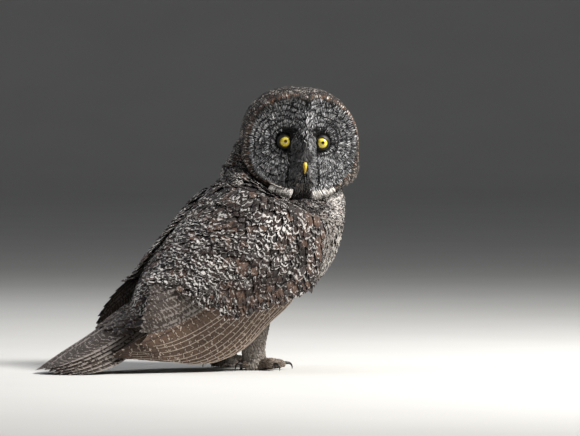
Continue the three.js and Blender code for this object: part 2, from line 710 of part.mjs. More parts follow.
const SIDES = [
  ["right", -1],
  ["left", 1],
];
add("torso", largest(torsoSolid().subtract(headSolid(SEAM))), "grey");
add("neck", largest(neckBody().subtract(headSolid(SEAM)).subtract(torsoSolid(SEAM))), "grey");
const eyes = SIDES.map(([, side]) => eyeCentre(side));
let head = headSolid();
for (const centre of eyes) head = head.subtract(ballSolid(centre, EYE.radius + 2 * SEAM + LID));
head = head.subtract(billSolid(true, 2 * SEAM)).subtract(billSolid(false, 2 * SEAM));
add("head", largest(head), "pale");
add("bill_upper", largest(billSolid(true).subtract(nostril(1)).subtract(nostril(-1))), "bill");
add("bill_lower", largest(billSolid(false).subtract(billSolid(true, GAP))), "bill");
for (const [name, side] of SIDES) {
  add(`eye_${name}`, ballSolid(eyeCentre(side), EYE.radius), "eye");
  add(`lids_${name}`, lidSolid(side), "lid");
  add(`wing_${name}`, wingSolid(side), "brown");
  const leg = legSolid(side);
  add(`leg_${name}`, largest(leg.subtract(torsoSolid(SEAM))), "pale");
  const foot = footSolid(side).subtract(underFloor());
  const bare = TOES.reduce((rest, toe) => rest.subtract(clawSolid(side, toe, GAP)), foot);
  add(`foot_${name}`, largest(bare), "pale");
  for (const toe of TOES) {
    add(`claw_${name}_${toe.name}`, largest(clawSolid(side, toe).subtract(underFloor())), "claw");
  }
}
add("tail", tailSolid(), "brown");

// The outer box is centred over the origin, and the floor stays at z = 0
const middle = new THREE.Box3().setFromObject(owl).getCenter(V());
for (const mesh of owl.children) mesh.geometry.translate(-middle.x, -middle.y, 0);

export default owl;
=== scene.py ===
"""A great grey owl as a still, life-size model: plumage, eyes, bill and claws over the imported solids.

All forms are worked out in millimetres on the same sections as the solids, and set in the row frame in metres.
"""

import logging
import math
from dataclasses import dataclass, field
from enum import Enum
from itertools import product

import bmesh
import bpy
import numpy as np
from bmesh.types import BMEdge, BMesh, BMVert
from bpy.types import ID, Material, Mesh, NodeSocket, NodeTree, Object
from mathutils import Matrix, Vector, kdtree
from numpy.random import default_rng


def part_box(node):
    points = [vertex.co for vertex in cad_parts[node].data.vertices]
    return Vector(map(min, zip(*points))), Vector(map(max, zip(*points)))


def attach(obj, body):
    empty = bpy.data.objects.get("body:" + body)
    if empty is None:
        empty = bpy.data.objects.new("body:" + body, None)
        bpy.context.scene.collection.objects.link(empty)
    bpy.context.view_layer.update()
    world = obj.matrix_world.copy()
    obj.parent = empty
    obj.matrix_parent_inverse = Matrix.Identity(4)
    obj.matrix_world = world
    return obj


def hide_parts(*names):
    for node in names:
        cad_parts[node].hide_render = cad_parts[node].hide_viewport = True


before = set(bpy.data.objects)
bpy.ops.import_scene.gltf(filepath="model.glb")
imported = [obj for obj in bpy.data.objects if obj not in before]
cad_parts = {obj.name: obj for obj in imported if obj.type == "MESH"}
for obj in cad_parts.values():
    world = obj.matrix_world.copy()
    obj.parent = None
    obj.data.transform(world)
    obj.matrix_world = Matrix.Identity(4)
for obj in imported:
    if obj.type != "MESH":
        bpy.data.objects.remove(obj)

log = logging.getLogger("owl")
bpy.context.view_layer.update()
BODY = "root"
MM = 0.001
TURN = 2 * math.pi
Array = np.ndarray
Arrays = tuple[Array, Array]
Value = Array | float
Pair = tuple[float, float]
Colour = tuple[int, int, int]


class Side(Enum):
    """The bird's own right and left, as signs of Y."""

    RIGHT = -1
    LEFT = 1


class Slot(Enum):
    """The record's material slots."""

    GREY = "plumage_grey"
    BROWN = "plumage_brown"
    PALE = "plumage_pale"
    EYE = "eye"
    LID = "lid"
    BILL = "bill"
    CLAW = "claw"


# Small maths


def smooth(x: Value, low: float, high: float) -> Value:
    """Smooth step from 0 at low to 1 at high."""
    t = np.clip((np.asarray(x, float) - low) / (high - low), 0, 1)
    return t * t * (3 - 2 * t)


def bell(x: Value, middle: float, width: float) -> Value:
    """A bell of height 1 round middle."""
    return np.exp(-(((np.asarray(x, float) - middle) / width) ** 2))


def lerp(a: Value, b: Value, f: Value) -> Value:
    """The value a share f of the way from a to b."""
    return a + (b - a) * f


def unit(v: Array) -> Array:
    """Vectors of length 1, the last axis being x, y, z."""
    return v / np.maximum(np.linalg.norm(v, axis=-1, keepdims=True), 1e-9)


def matched(a: Value, b: Value) -> Arrays:
    """Both as arrays of one shape."""
    return np.broadcast_arrays(np.asarray(a, float), b)


def stacked(*values: Value) -> Array:
    """The values side by side along a new last axis."""
    return np.stack(np.broadcast_arrays(*values), -1)


def along(values: Array, s: Array) -> Array:
    """A smooth curve through listed values.

    Args:
        values: one row for each station.
        s: places, counted in stations.

    Returns:
        A row for each place.
    """
    values = np.asarray(values, float)
    s = np.asarray(s, float)
    last = len(values) - 1
    i = np.clip(np.floor(s), 0, last - 1).astype(int)
    f = s - i
    a, b, c, d = (values[np.clip(i + k, 0, last)] for k in (-1, 0, 1, 2))
    if values.ndim > 1:
        f = f[..., None]
    return b + 0.5 * f * (c - a + f * (2 * a - 5 * b + 4 * c - d + f * (3 * (b - c) + d - a)))


def noise(points: Array, seed: int = 0) -> Array:
    """Smooth value noise between -1 and 1.

    Args:
        points: places, the last axis being x, y, z, one unit to a lump.
        seed: a number for each pattern.

    Returns:
        One value for each place.
    """
    cell = np.floor(points).astype(np.int64)
    f = points - cell
    f = f * f * (3 - 2 * f)
    total = np.zeros(points.shape[:-1])
    for corner in product((0, 1), repeat=3):
        key = (cell + corner) @ np.array([374761393, 668265263, 1103515245]) + seed * 974634777
        key = (key ^ (key >> 13)) * 1274126177
        key = (key ^ (key >> 16)) & 0xFFFF
        share = np.prod(np.where(corner, f, 1 - f), axis=-1)
        total += (key / 32767.5 - 1) * share
    return total


def tone(red: int, green: int, blue: int) -> Array:
    """A colour as seen on a screen, 0 to 255, in linear light."""
    c = np.array([red, green, blue]) / 255
    return np.where(c <= 0.04045, c / 12.92, ((c + 0.055) / 1.055) ** 2.4)


def blend(a: Array, b: Array, share: Value) -> Array:
    """Colours between a and b."""
    return a + (b - a) * np.asarray(share)[..., None]


# Forms: smooth surfaces over which the plumage lies. Each takes two numbers to a place in millimetres.


class Form:
    """A surface with a place for every pair of numbers."""

    inside: Array = np.zeros(3)
    probe: Pair = (0.5, 0.5)
    step: Pair = (0.01, 0.01)

    def base(self, a: Array, b: Array) -> Array:
        """The surface itself."""
        raise NotImplementedError

    def slopes(self, a: Array, b: Array) -> Arrays:
        """How the place moves with each number."""
        da, db = self.step
        along_a = (self.base(a + da, b) - self.base(a - da, b)) / (2 * da)
        along_b = (self.base(a, b + db) - self.base(a, b - db)) / (2 * db)
        return along_a, along_b

    def outward(self, a: Array, b: Array) -> Array:
        """Unit normals that point away from the inside."""
        normal = unit(np.cross(*self.slopes(a, b)))
        if not hasattr(self, "_sign"):
            pa, pb = (np.array([v], float) for v in self.probe)
            probe = unit(np.cross(*self.slopes(pa, pb)))
            self._sign = np.sign(((self.base(pa, pb) - self.inside) * probe).sum())
        return normal * self._sign

    def moved(self, a: Array, b: Array, way: Array) -> list[Array]:
        """How much each number changes in a millimetre along a way.

        Args:
            a: first numbers of the places.
            b: second numbers.
            way: unit directions along the surface there.

        Returns:
            The change of the first and of the second number.
        """
        slope_a, slope_b = self.slopes(a, b)
        aa, ab, bb = ((p * q).sum(-1) for p, q in ((slope_a, slope_a), (slope_a, slope_b), (slope_b, slope_b)))
        wa, wb = (way * slope_a).sum(-1), (way * slope_b).sum(-1)
        scale = aa * bb - ab * ab
        return [(bb * wa - ab * wb) / scale, (aa * wb - ab * wa) / scale]

    def at(self, a: Array, b: Array, lift: Value) -> Array:
        """Places at a height over the surface."""
        return self.base(a, b) + self.outward(a, b) * np.asarray(lift)[..., None]


# Stations from neck to tail, in millimetres: centre line, half sizes of the body, half sizes of the folded wings
STATIONS = {
    "x": [40, 27, 4, -32, -76, -122, -168, -218, -270, -324],
    "z": [276, 236, 198, 166, 138, 112, 86, 58, 32, 10],
    "back": [54, 67, 92, 92, 84, 67, 52, 38, 16, 6],
    "belly": [78, 98, 106, 94, 72, 46, 30, 20, 8, 4],
    "side": [72, 87, 90, 84, 72, 58, 46, 38, 20, 10],
    "over": [53, 72, 96, 95, 83, 67, 54, 49, 40, 23],
    "out": [72, 90, 100, 100, 97, 90, 79, 70, 58, 42],
    "hang": [50, 60, 74, 90, 88, 98, 91, 62, 31, 7],
}


def column(name: str, s: Array) -> Array:
    """One measure of the body at places s, counted in stations from the neck."""
    return along(STATIONS[name], s)


def section(s: Array) -> Arrays:
    """The centre of the body's section at s, and its own upward direction."""
    h = 0.05
    centre = stacked(column("x", s), 0, column("z", s))
    way = unit(
        stacked(column("x", s + h) - column("x", s - h), 0, column("z", s + h) - column("z", s - h))
    )
    return centre, stacked(way[..., 2], 0, -way[..., 0])


Y = np.array([0.0, 1.0, 0.0])


def slid(s: Array, turn: Array) -> Array:
    """Stations on the body, slid down it at the shoulder below the face."""
    near = bell(1 - np.cos(turn + math.radians(75)), 0, 0.35)
    return s + 0.46 * near * (1 - smooth(s, 0.9, 2.2))


def body_point(s: Array, turn: Array, share: Value) -> Array:
    """A place on the body at angle turn from the middle of the back."""
    s, turn = matched(s, turn)
    s = slid(s, turn)
    centre, up = section(s)
    rise = np.cos(turn)
    reach = np.where(rise > 0, column("back", s), column("belly", s)) * share
    return centre + up * (rise * reach)[..., None] + Y * (np.sin(turn) * column("side", s) * share)[..., None]


class BodyForm(Form):
    """Back, breast and belly: numbers are station and angle from the back."""

    inside = np.array([0.0, 0.0, 180.0])
    probe = (2.5, math.pi)

    def base(self, a: Array, b: Array) -> Array:
        """The body, rounded off at both ends."""
        front = 1 - (1 - smooth(a, 0.66, 1.0)) ** 2
        share = np.sqrt(np.maximum(1e-4, (1 - smooth(a, 4.9, 7.0) ** 2) * front))
        return body_point(a, b, share)


class WingForm(Form):
    """A folded wing: numbers are station and q, 0 on the middle of the back, 0.5 at the side, 1 at the lower edge."""

    inside = np.array([-20.0, 0.0, 150.0])
    probe = (3.0, 0.5)

    def __init__(self, side: Side) -> None:
        """One side's wing."""
        self.side = side.value

    def base(self, a: Array, b: Array) -> Array:
        """The wing's outer face, bent to keep clear of the ground."""
        a, b = matched(a, b)
        centre, up = section(a)
        fall = np.maximum(0, 2 * b - 1)
        turn = np.pi * np.minimum(b, 0.5)
        rise = np.where(b < 0.5, column("over", a) * np.cos(turn), -column("hang", a) * fall)
        stand = np.where(b < 0.5, column("out", a) * np.sin(turn), column("out", a) * (1 - 0.1 * fall * fall))
        point = centre + up * rise[..., None] + Y * (self.side * stand)[..., None]
        low = 2.5 + 6.5 * np.exp((np.minimum(point[..., 2], 9) - 9) / 6.5)
        point[..., 2] = np.where(point[..., 2] < 9, low, point[..., 2])
        return point


def between(places: list[Pair], t: Array) -> Arrays:
    """A place on a line through listed pairs, t from 0 to 1."""
    at = along(np.array(places, float), np.clip(t, 0, 1) * (len(places) - 1))
    return at[..., 0], at[..., 1]


class FlapForm(Form):
    """The scapulars and small coverts: numbers are a share along the wing and a share from root to free edge."""

    inside = WingForm.inside
    probe = (0.4, 0.5)
    ROOT = [(1.15, 0.8), (1.3, 0.55), (1.4, 0.34), (1.7, 0.18), (2.8, 0.1), (4.2, 0.06)]
    EDGE = [(2.2, 0.93), (3.1, 0.87), (4.1, 0.8), (5.05, 0.7), (5.5, 0.5), (6.1, 0.1)]
    TOP = 5.0

    def __init__(self, side: Side) -> None:
        """One side's flap, over that side's wing."""
        self.wing = WingForm(side)

    def base(self, a: Array, b: Array) -> Array:
        """The flap's outer face, which sinks into the breast in front and into the back along its root."""
        (ra, rb), (ea, eb) = between(self.ROOT, a), between(self.EDGE, a)
        sinking = (
            14 * (1 - smooth(a, 0, 0.14)) + 3 * (1 - smooth(b, 0, 0.16))
            + 5 * smooth(a, 0.66, 0.8) * smooth(b, 0.5, 1)
        )
        return self.wing.at(lerp(ra, ea, b), lerp(rb, eb, b), self.TOP - sinking)


class TailForm(Form):
    """The tail: numbers are a share of its length and millimetres across."""

    inside = np.array([-200.0, 0.0, -100.0])
    probe = (0.5, 0.0)
    step = (0.01, 1.0)
    LINE = [(-105, 138), (-180, 98), (-264, 48), (-350, 6)]

    def base(self, a: Array, b: Array) -> Array:
        """An arched and rolled surface that flattens towards the ground."""
        a, b = matched(a, b)
        x, z = between(self.LINE, a)
        xa, za = between(self.LINE, np.maximum(0, a - 0.02))
        xb, zb = between(self.LINE, np.minimum(1, a + 0.02))
        way = unit(stacked(xb - xa, 0, zb - za))
        flat = 1 - 0.75 * smooth(a, 0.5, 1)
        roll = np.radians(-18) * flat
        up0 = stacked(way[..., 2], 0, -way[..., 0])
        cos, sin = np.cos(roll)[..., None], np.sin(roll)[..., None]
        up = up0 * cos + np.cross(way, up0) * sin
        across = Y * cos + np.cross(way, Y) * sin
        drop = b * b / 160 * flat
        place = stacked(x, 0, z) + way * (np.maximum(0, a - 1) * 250)[..., None]
        return place + up * -drop[..., None] + across * b[..., None]


HEAD_CENTRE = np.array([55.0, -7.0, 311.0])
HEAD_TURN, HEAD_NOD, HEAD_LEAN = -110, 2, -2.5  # degrees


def head_axes() -> Array:
    """The head's own directions as rows: out through the face, to the bird's left, and up."""
    yaw, pitch, roll = (math.radians(v) for v in (HEAD_TURN, HEAD_NOD, HEAD_LEAN))
    turn_z = np.array([[math.cos(yaw), -math.sin(yaw), 0], [math.sin(yaw), math.cos(yaw), 0], [0, 0, 1]])
    turn_y = np.array([[math.cos(pitch), 0, math.sin(pitch)], [0, 1, 0], [-math.sin(pitch), 0, math.cos(pitch)]])
    turn_x = np.array([[1, 0, 0], [0, math.cos(roll), -math.sin(roll)], [0, math.sin(roll), math.cos(roll)]])
    return (turn_z @ turn_y @ turn_x).T


HEAD_AXES = head_axes()
EYE_APART, EYE_UP, EYE_OUT, EYE_RADIUS = 53.0, 7.0, 32.5, 11.0


def in_head(out: Value, left: Value, up: Value) -> Array:
    """A place given in the head's own directions."""
    return HEAD_CENTRE + stacked(out, left, up) @ HEAD_AXES


def facing(left: Value, up: Value = -1.0) -> Array:
    """Ways across the face, given by their parts to the bird's left and up."""
    return np.asarray(left)[..., None] * HEAD_AXES[1] + np.asarray(up)[..., None] * HEAD_AXES[2]


def disc_rim(turn: Array, dip: Value = 1.0) -> Array:
    """How far the rim of the facial disc is from its middle, at an angle from its top, with a dip between the brows."""
    rise, aside = np.cos(turn), np.sin(turn)
    reach = np.where(rise > 0, 71.0, 63.0)
    notch = 5 * bell(aside, 0, 0.16) * np.where(rise > 0, 1, 0.4)
    return ((np.abs(aside) / 78) ** 2.3 + (np.abs(rise) / reach) ** 2.3) ** (-1 / 2.3) - notch * dip


def face_out(left: Array, up: Array) -> Array:
    """How far the face stands out: swept back at the sides, dished round each eye, with a ridge between."""
    reach = np.hypot(np.abs(left) - EYE_APART / 2, (up - EYE_UP) * 0.9)
    dish = 9 * bell(reach, 8, 26)
    ridge = 7 * bell(left, 0, 9) * smooth(up, -34, -8)
    brow = 5 * bell(np.hypot(np.abs(left) - 14, up - 24), 0, 15)
    chin = 6 * bell(np.hypot(left * 0.8, up + 36), 0, 18)
    return 50 - 0.0038 * left * left - 0.0016 * up * up - dish + ridge + brow + chin


def on_head(spots: Array) -> tuple[Array, Array, Array, Array]:
    """How far places are out, left and up from the head's centre, and their reach as a share of the disc's."""
    out, left, up = np.moveaxis((spots - HEAD_CENTRE) @ HEAD_AXES.T, -1, 0)
    return out, left, up, np.hypot(left, up) / disc_rim(np.arctan2(left, up))


def drawn_back(spots: Array) -> Array:
    """Places of the neck, drawn back where they would stand before the lower rim of the disc.

    Args:
        spots: the places, in millimetres.

    Returns:
        The same places, with the rim left free.
    """
    out, left, up, reach = on_head(spots)
    reach = np.maximum(reach, 0.5)
    limit = face_out(left / reach, up / reach) - 4 + 45 * (reach - 1)
    excess = np.maximum(0, out - limit) * smooth(-up, 8, 26) * smooth(reach, 0.97, 1.02)
    return spots - excess[..., None] * HEAD_AXES[0]


class HeadForm(Form):
    """The head: the first number is 0 in mid-face, 1 at the disc's rim and 2 behind; the second is an angle."""

    inside = HEAD_CENTRE
    probe = (1.6, 0.4)

    def base(self, a: Array, b: Array) -> Array:
        """Face and back of the head."""
        a, b = matched(a, b)
        rim = disc_rim(b, 1 - 0.8 * smooth(a, 1.0, 1.3))
        aside, rise = np.sin(b), np.cos(b)
        near = np.minimum(np.abs(a), 1)
        out = face_out(aside * rim * near, rise * rim * near) + 4 * smooth(near, 0.86, 0.97)
        bend = np.clip(a - 1, 0, 0.985) * np.pi / 2
        cheek = 0.17 + 0.12 * smooth(aside, 0.3, 0.9)
        swell = 1 + (0.07 + 0.23 * np.maximum(0, rise) + cheek * bell(rise, -0.4, 0.4)) * np.sin(2 * bend)
        reach = rim * np.where(a < 1, near, swell * np.cos(bend) ** 0.62)
        out = np.where(a < 1, out, out - (out + 80) * np.sin(bend))
        return in_head(out, aside * reach, rise * reach)


class FaceForm(Form):
    """The face and what hangs below it: numbers are millimetres to the left and up from the middle of the disc."""

    inside = in_head(0, 0, -30)
    probe = (0.0, -60.0)
    step = (1.0, 1.0)

    def __init__(self, raised: float = 0.0, right: float = 0.0) -> None:
        """The face, or a surface at a height over it, and more over it on the bird's right."""
        self.raised, self.right = raised, right

    def base(self, a: Array, b: Array) -> Array:
        """The face, carried on down and back to the throat."""
        a, b = matched(a, b)
        below = np.maximum(0, -54 - b)
        raised = self.raised + self.right * smooth(-a, 4, 20)
        return in_head(face_out(a, np.maximum(b, -58)) + raised - 0.018 * below**2, a, b)


NECK_CENTRE = np.array([36.0, 3.0, 280.0])


class NeckForm(Form):
    """The neck: the first number counts its rings from the shoulders up, the second is the angle from the back."""

    inside = NECK_CENTRE
    probe = (3.0, math.pi)
    # station on the body, share of its girth, and how much more at the nape and towards the wings
    FOOT = [(1.75, 0.97, 0.0, 0.04), (1.3, 0.99, 0.13, 0.03), (0.86, 1.0, 0.26, 0.0)]
    # height, slope to the front, half width, reach towards the face and towards the nape
    RINGS = [(256, 0.3, 87, 34, 81), (270, 0.18, 82, 25, 76), (292, 0.08, 74, 17, 70), (316, 0, 65, 13, 66)]
    TOP = (336, 0, 46, 10, 50)

    def base(self, a: Array, b: Array) -> Array:
        """Rings that start on the body and turn with the head."""
        a, b = matched(a, b)
        behind = np.maximum(0, np.cos(b - math.radians(20))) ** 2
        aside = np.abs(np.mod(b + np.pi, TURN) - np.pi)
        wing = smooth(aside, 0.2, 0.6) * (1 - smooth(aside, 1.7, 2.1))
        rings = [
            body_point(np.full_like(b, s), b, share + nape * behind + rise * wing) for s, share, nape, rise in self.FOOT
        ]
        for z, lean, wide, front, nape in [*self.RINGS, self.TOP]:
            bearing = np.pi - b + np.radians(-HEAD_TURN)
            deep = np.where(np.cos(bearing) > 0, front, nape)
            reach = 1 / np.hypot(np.cos(bearing) / deep, np.sin(bearing) / wide)
            x, y = NECK_CENTRE[0] - np.cos(b) * reach, NECK_CENTRE[1] + np.sin(b) * reach
            rings.append(stacked(x, y, z + lean * np.cos(b) * reach))
        stack = np.stack(rings)
        i = np.clip(np.floor(a), 0, len(rings) - 2).astype(int)
        f = np.clip(a - i, 0, 1)[..., None]
        low = np.take_along_axis(stack, i[None, ..., None], 0)[0]
        high = np.take_along_axis(stack, i[None, ..., None] + 1, 0)[0]
        return drawn_back(low + (high - low) * f)


FOOT_X, FOOT_Y = -32.0, 41.0


class LegForm(Form):
    """A feathered leg: numbers are a share from the ankle up and the angle round it."""

    step = (0.02, 0.02)

    def __init__(self, side: Side) -> None:
        """One side's leg."""
        self.side = side.value
        self.inside = np.array([FOOT_X - 8, self.side * FOOT_Y, 50])

    def base(self, a: Array, b: Array) -> Array:
        """A shank that widens to the thigh, and below the ankle to the foot."""
        a, b = matched(a, b)
        thick = lerp(14, 25, smooth(a, 0.1, 0.9)) + 3 * (1 - smooth(a, -0.2, 0.05))
        x = FOOT_X + lerp(-4, -12, np.clip(a, 0, 1)) + np.cos(b) * thick * 1.15
        return stacked(x, self.side * (FOOT_Y + np.sin(b) * thick), lerp(17, 84, a))


TOES = {"inner": (-16, 0.9), "middle": (12, 1.0), "outer": (78, 0.9), "hind": (172, 0.62)}
TOE_LENGTH = 38.0


class ToeForm(Form):
    """A toe: numbers are a share of its length and the angle round it from its outer side."""

    def __init__(self, side: Side, toe: str) -> None:
        """One toe of one foot."""
        turn, share = TOES[toe]
        way = math.radians(turn)
        self.foot = np.array([FOOT_X, side.value * FOOT_Y, 0.0])
        self.way = np.array([math.cos(way), side.value * math.sin(way), 0.0])
        self.aside = np.array([-self.way[1], self.way[0], 0.0])
        self.length = TOE_LENGTH * share
        self.inside = self.foot + self.way * self.length * 0.5 + np.array([0, 0, 7.0])

    def base(self, a: Array, b: Array) -> Array:
        """A rounded toe, flat below."""
        a, b = matched(a, b)
        lumps = 1 + 0.06 * np.cos(a * 4 * np.pi)
        thick = 8 * np.sqrt(np.maximum(0.02, 1 - np.maximum(0, (a - 0.72) / 0.4) ** 2)) * lumps
        height = 7.6 - 1.2 * smooth(a, 0.6, 1) + np.sin(b) * thick
        centre = self.foot + self.way * (self.length * a)[..., None] + self.aside * (np.cos(b) * thick)[..., None]
        centre[..., 2] = np.maximum(height, 0.6)
        return centre


# Shader building


def feed(tree: NodeTree, socket: NodeSocket, value: object) -> None:
    """Links a term to a socket, or sets the socket's own value.

    Args:
        tree: the material's nodes.
        socket: an input.
        value: a term, a number, or numbers.
    """
    if isinstance(value, Term):
        tree.links.new(value.socket, socket)
    elif socket.type == "RGBA":
        socket.default_value = (*value, 1.0)
    else:
        socket.default_value = value


class Term:
    """A socket of a material's node tree that takes part in Python sums."""

    def __init__(self, tree: NodeTree, socket: NodeSocket) -> None:
        """Wraps one output socket."""
        self.tree, self.socket = tree, socket

    def _math(self, operation: str, *values: "Term | float") -> "Term":
        """A Math node of the values."""
        node = self.tree.nodes.new("ShaderNodeMath")
        node.operation = operation
        for socket, value in zip(node.inputs, values):
            feed(self.tree, socket, value)
        return Term(self.tree, node.outputs[0])

    def __add__(self, other: "Term | float") -> "Term":
        """Sum."""
        return self._math("ADD", self, other)

    __radd__ = __add__

    def __sub__(self, other: "Term | float") -> "Term":
        """Difference."""
        return self._math("SUBTRACT", self, other)

    def __rsub__(self, other: float) -> "Term":
        """Difference from a number."""
        return self._math("SUBTRACT", other, self)

    def __mul__(self, other: "Term | float") -> "Term":
        """Product."""
        return self._math("MULTIPLY", self, other)

    __rmul__ = __mul__

    def __truediv__(self, other: "Term | float") -> "Term":
        """Quotient."""
        return self._math("DIVIDE", self, other)

    def wave(self) -> "Term":
        """The sine."""
        return self._math("SINE", self)

    def root(self) -> "Term":
        """The square root."""
        return self._math("SQRT", self)

    def size(self) -> "Term":
        """The value without its sign."""
        return self._math("ABSOLUTE", self)

    def between(self, low: float, high: float) -> "Term":
        """Smooth step from 0 at low to 1 at high, either way round."""
        node = self.tree.nodes.new("ShaderNodeMapRange")
        node.interpolation_type = "SMOOTHSTEP"
        self.tree.links.new(self.socket, node.inputs["Value"])
        turned = low > high
        node.inputs["From Min"].default_value = min(low, high)
        node.inputs["From Max"].default_value = max(low, high)
        node.inputs["To Min"].default_value = 1.0 if turned else 0.0
        node.inputs["To Max"].default_value = 0.0 if turned else 1.0
        return Term(self.tree, node.outputs["Result"])


class Dye:
    """Builds one material's nodes."""

    def __init__(self, name: str) -> None:
        """A new material with a Principled shader."""
        self.material = bpy.data.materials.new(name)
        self.material.use_nodes = True
        self.tree = self.material.node_tree
        self.shader = self.tree.nodes["Principled BSDF"]

    def node(self, kind: str, output: int | str = 0, settings: dict | None = None, **inputs: object) -> Term:
        """Any node but a Math node.

        Args:
            kind: the node's type.
            output: the socket that is returned.
            settings: the node's own options, which are set first.
            inputs: values or links of its sockets, by name with _ for a space.

        Returns:
            The chosen output.
        """
        node = self.tree.nodes.new(kind)
        for key, value in (settings or {}).items():
            setattr(node, key, value)
        for key, value in inputs.items():
            name = key.replace("_", " ")
            feed(self.tree, next(s for s in node.inputs if s.name == name and s.enabled), value)
        outputs = [s for s in node.outputs if s.enabled]
        return Term(self.tree, outputs[output] if isinstance(output, int) else node.outputs[output])

    def attribute(self, name: str, output: str = "Vector") -> Term:
        """A mesh attribute."""
        return self.node("ShaderNodeAttribute", output, {"attribute_name": name})

    def parts(self, vector: Term) -> tuple[Term, Term, Term]:
        """A vector's three numbers."""
        node = self.tree.nodes.new("ShaderNodeSeparateXYZ")
        self.tree.links.new(vector.socket, node.inputs[0])
        return tuple(Term(self.tree, socket) for socket in node.outputs)

    def vector(self, x: Term | float, y: Term | float, z: Term | float) -> Term:
        """A vector of three numbers."""
        return self.node("ShaderNodeCombineXYZ", X=x, Y=y, Z=z)

    def grain(self, place: Term, scale: float, detail: float = 2.0, roughness: float = 0.5) -> Term:
        """Noise between 0 and 1."""
        return self.node(
            "ShaderNodeTexNoise", "Fac", Vector=place, Scale=scale, Detail=detail, Roughness=roughness
        )

    def mix(self, share: Term | float, a: Term | Array, b: Term | Array, kind: str = "MIX") -> Term:
        """A colour between two."""
        node = self.tree.nodes.new("ShaderNodeMix")
        node.data_type = "RGBA"
        node.blend_type = kind
        node.clamp_factor = True
        for index, value in ((0, share), (6, a), (7, b)):
            feed(self.tree, node.inputs[index], value)
        return Term(self.tree, node.outputs[2])

    def put(self, name: str, value: Term | float) -> None:
        """Sets or links a socket of the shader."""
        feed(self.tree, self.shader.inputs[name], value)

    def bump(self, height: Term, strength: float, distance: float) -> None:
        """Raises the surface by a height."""
        self.put("Normal", self.node("ShaderNodeBump", Height=height, Strength=strength, Distance=distance))


class Pattern(Enum):
    """How a feather is marked."""

    STREAK = "streak"
    WAVE = "wave"
    BAR = "bar"


@dataclass(frozen=True)
class FeatherFinish:
    """A feather's colours: its own ground, pale marks, a dark middle, a pale fringe and combed barbs."""

    name: str
    pattern: Pattern
    pale: Colour
    dark: Colour
    period: float = 5.0
    wobble: float = 1.0
    fine: float = 1.0
    cover: float = 0.5
    bow: float = 0.05
    shaft: float = 0.35
    roughness: float = 0.75

    def make(self) -> Material:
        """Builds the material.

        Returns:
            A material that reads ground, marks and place from the mesh.
        """
        dye = Dye(self.name)
        ground = dye.attribute("ground", "Color")
        rim = dye.attribute("ground", "Alpha")
        pale_share, dark_share, edge_share = dye.parts(dye.attribute("marks", "Vector"))
        place = dye.attribute("place", "Vector")
        across, down, seed = dye.parts(place)
        pale, dark = tone(*self.pale), tone(*self.dark)
        drift = dye.grain(place, 0.2 * self.fine, 1.0) - 0.5
        curl = dye.grain(dye.vector(across, down, seed + 40.0), 0.5 * self.fine, 1.0) - 0.5
        gap = dye.grain(dye.vector(across * 0.7, down, seed + 150.0), 0.34 * self.fine, 1.0)
        fleck = dye.grain(dye.vector(across, down * 0.35, seed + 90.0), 1.1 * self.fine, 2.0)
        barb = (down * 9.0 - across.size() * 7.0 + fleck * 5.0).wave()
        colour = dye.mix(fleck.between(0.3, 0.7) * 0.5, ground, dye.mix(1.0, ground, np.full(3, 0.5), "MULTIPLY"))
        core = (across.size() + drift * 2.0).between(self.shaft * 5.0, 0.2)
        colour = dye.mix(core * dark_share, colour, dark)
        if self.pattern is Pattern.WAVE:
            arc = down + across * across * self.bow
            wave = (arc * (TURN / self.period) + drift * (self.wobble * 9.0) + curl * 5.0 + seed).wave()
            broken = (gap + pale_share * 0.34).between(0.52, 0.62)
            line = (wave + curl * 0.8).between(0.85 - self.cover, 1.1 - self.cover) * broken
            fringe = rim.between(0.72, 0.9) * (gap + edge_share * 0.34).between(0.56, 0.66)
            colour = dye.mix((line + fringe).between(0.0, 1.0) * (0.35 + pale_share * 0.65), colour, pale)
        if self.pattern is Pattern.BAR:
            wave = (down * (TURN / self.period) + across * 0.2 + drift * (self.wobble * 6.0) + curl * 2.0 + seed).wave()
            line = (wave + curl).between(0.95 - self.cover, 1.2 - self.cover)
            hollow = (wave + curl).between(0.1 - self.cover, 0.6 - self.cover) - line
            colour = dye.mix(hollow * dark_share, colour, dark)
            colour = dye.mix(line * pale_share * gap.between(0.46, 0.6), colour, pale)
            fringe = rim.between(0.9, 0.98) * edge_share * (gap + 0.2).between(0.42, 0.58)
            colour = dye.mix(fringe, colour, pale)
        if self.pattern is Pattern.STREAK:
            streak = (fleck + curl * 0.6).between(0.66 - self.cover * 0.3, 0.74 - self.cover * 0.3)
            colour = dye.mix(streak * pale_share, colour, pale)
            fringe = rim.between(0.6, 1.0) * edge_share
            colour = dye.mix(fringe, colour, pale)
        quill = across.size().between(self.shaft, self.shaft * 0.4)
        colour = dye.mix(quill * (0.15 + dark_share * 0.5), colour, dark)
        dye.put("Base Color", colour)
        dye.put("Roughness", self.roughness - 0.15 * fleck)
        dye.put("Specular IOR Level", 0.3)
        dye.bump(barb * 0.5 + fleck - quill * 1.5, 0.35, 0.0004)
        return dye.material


# Feathers as joined meshes


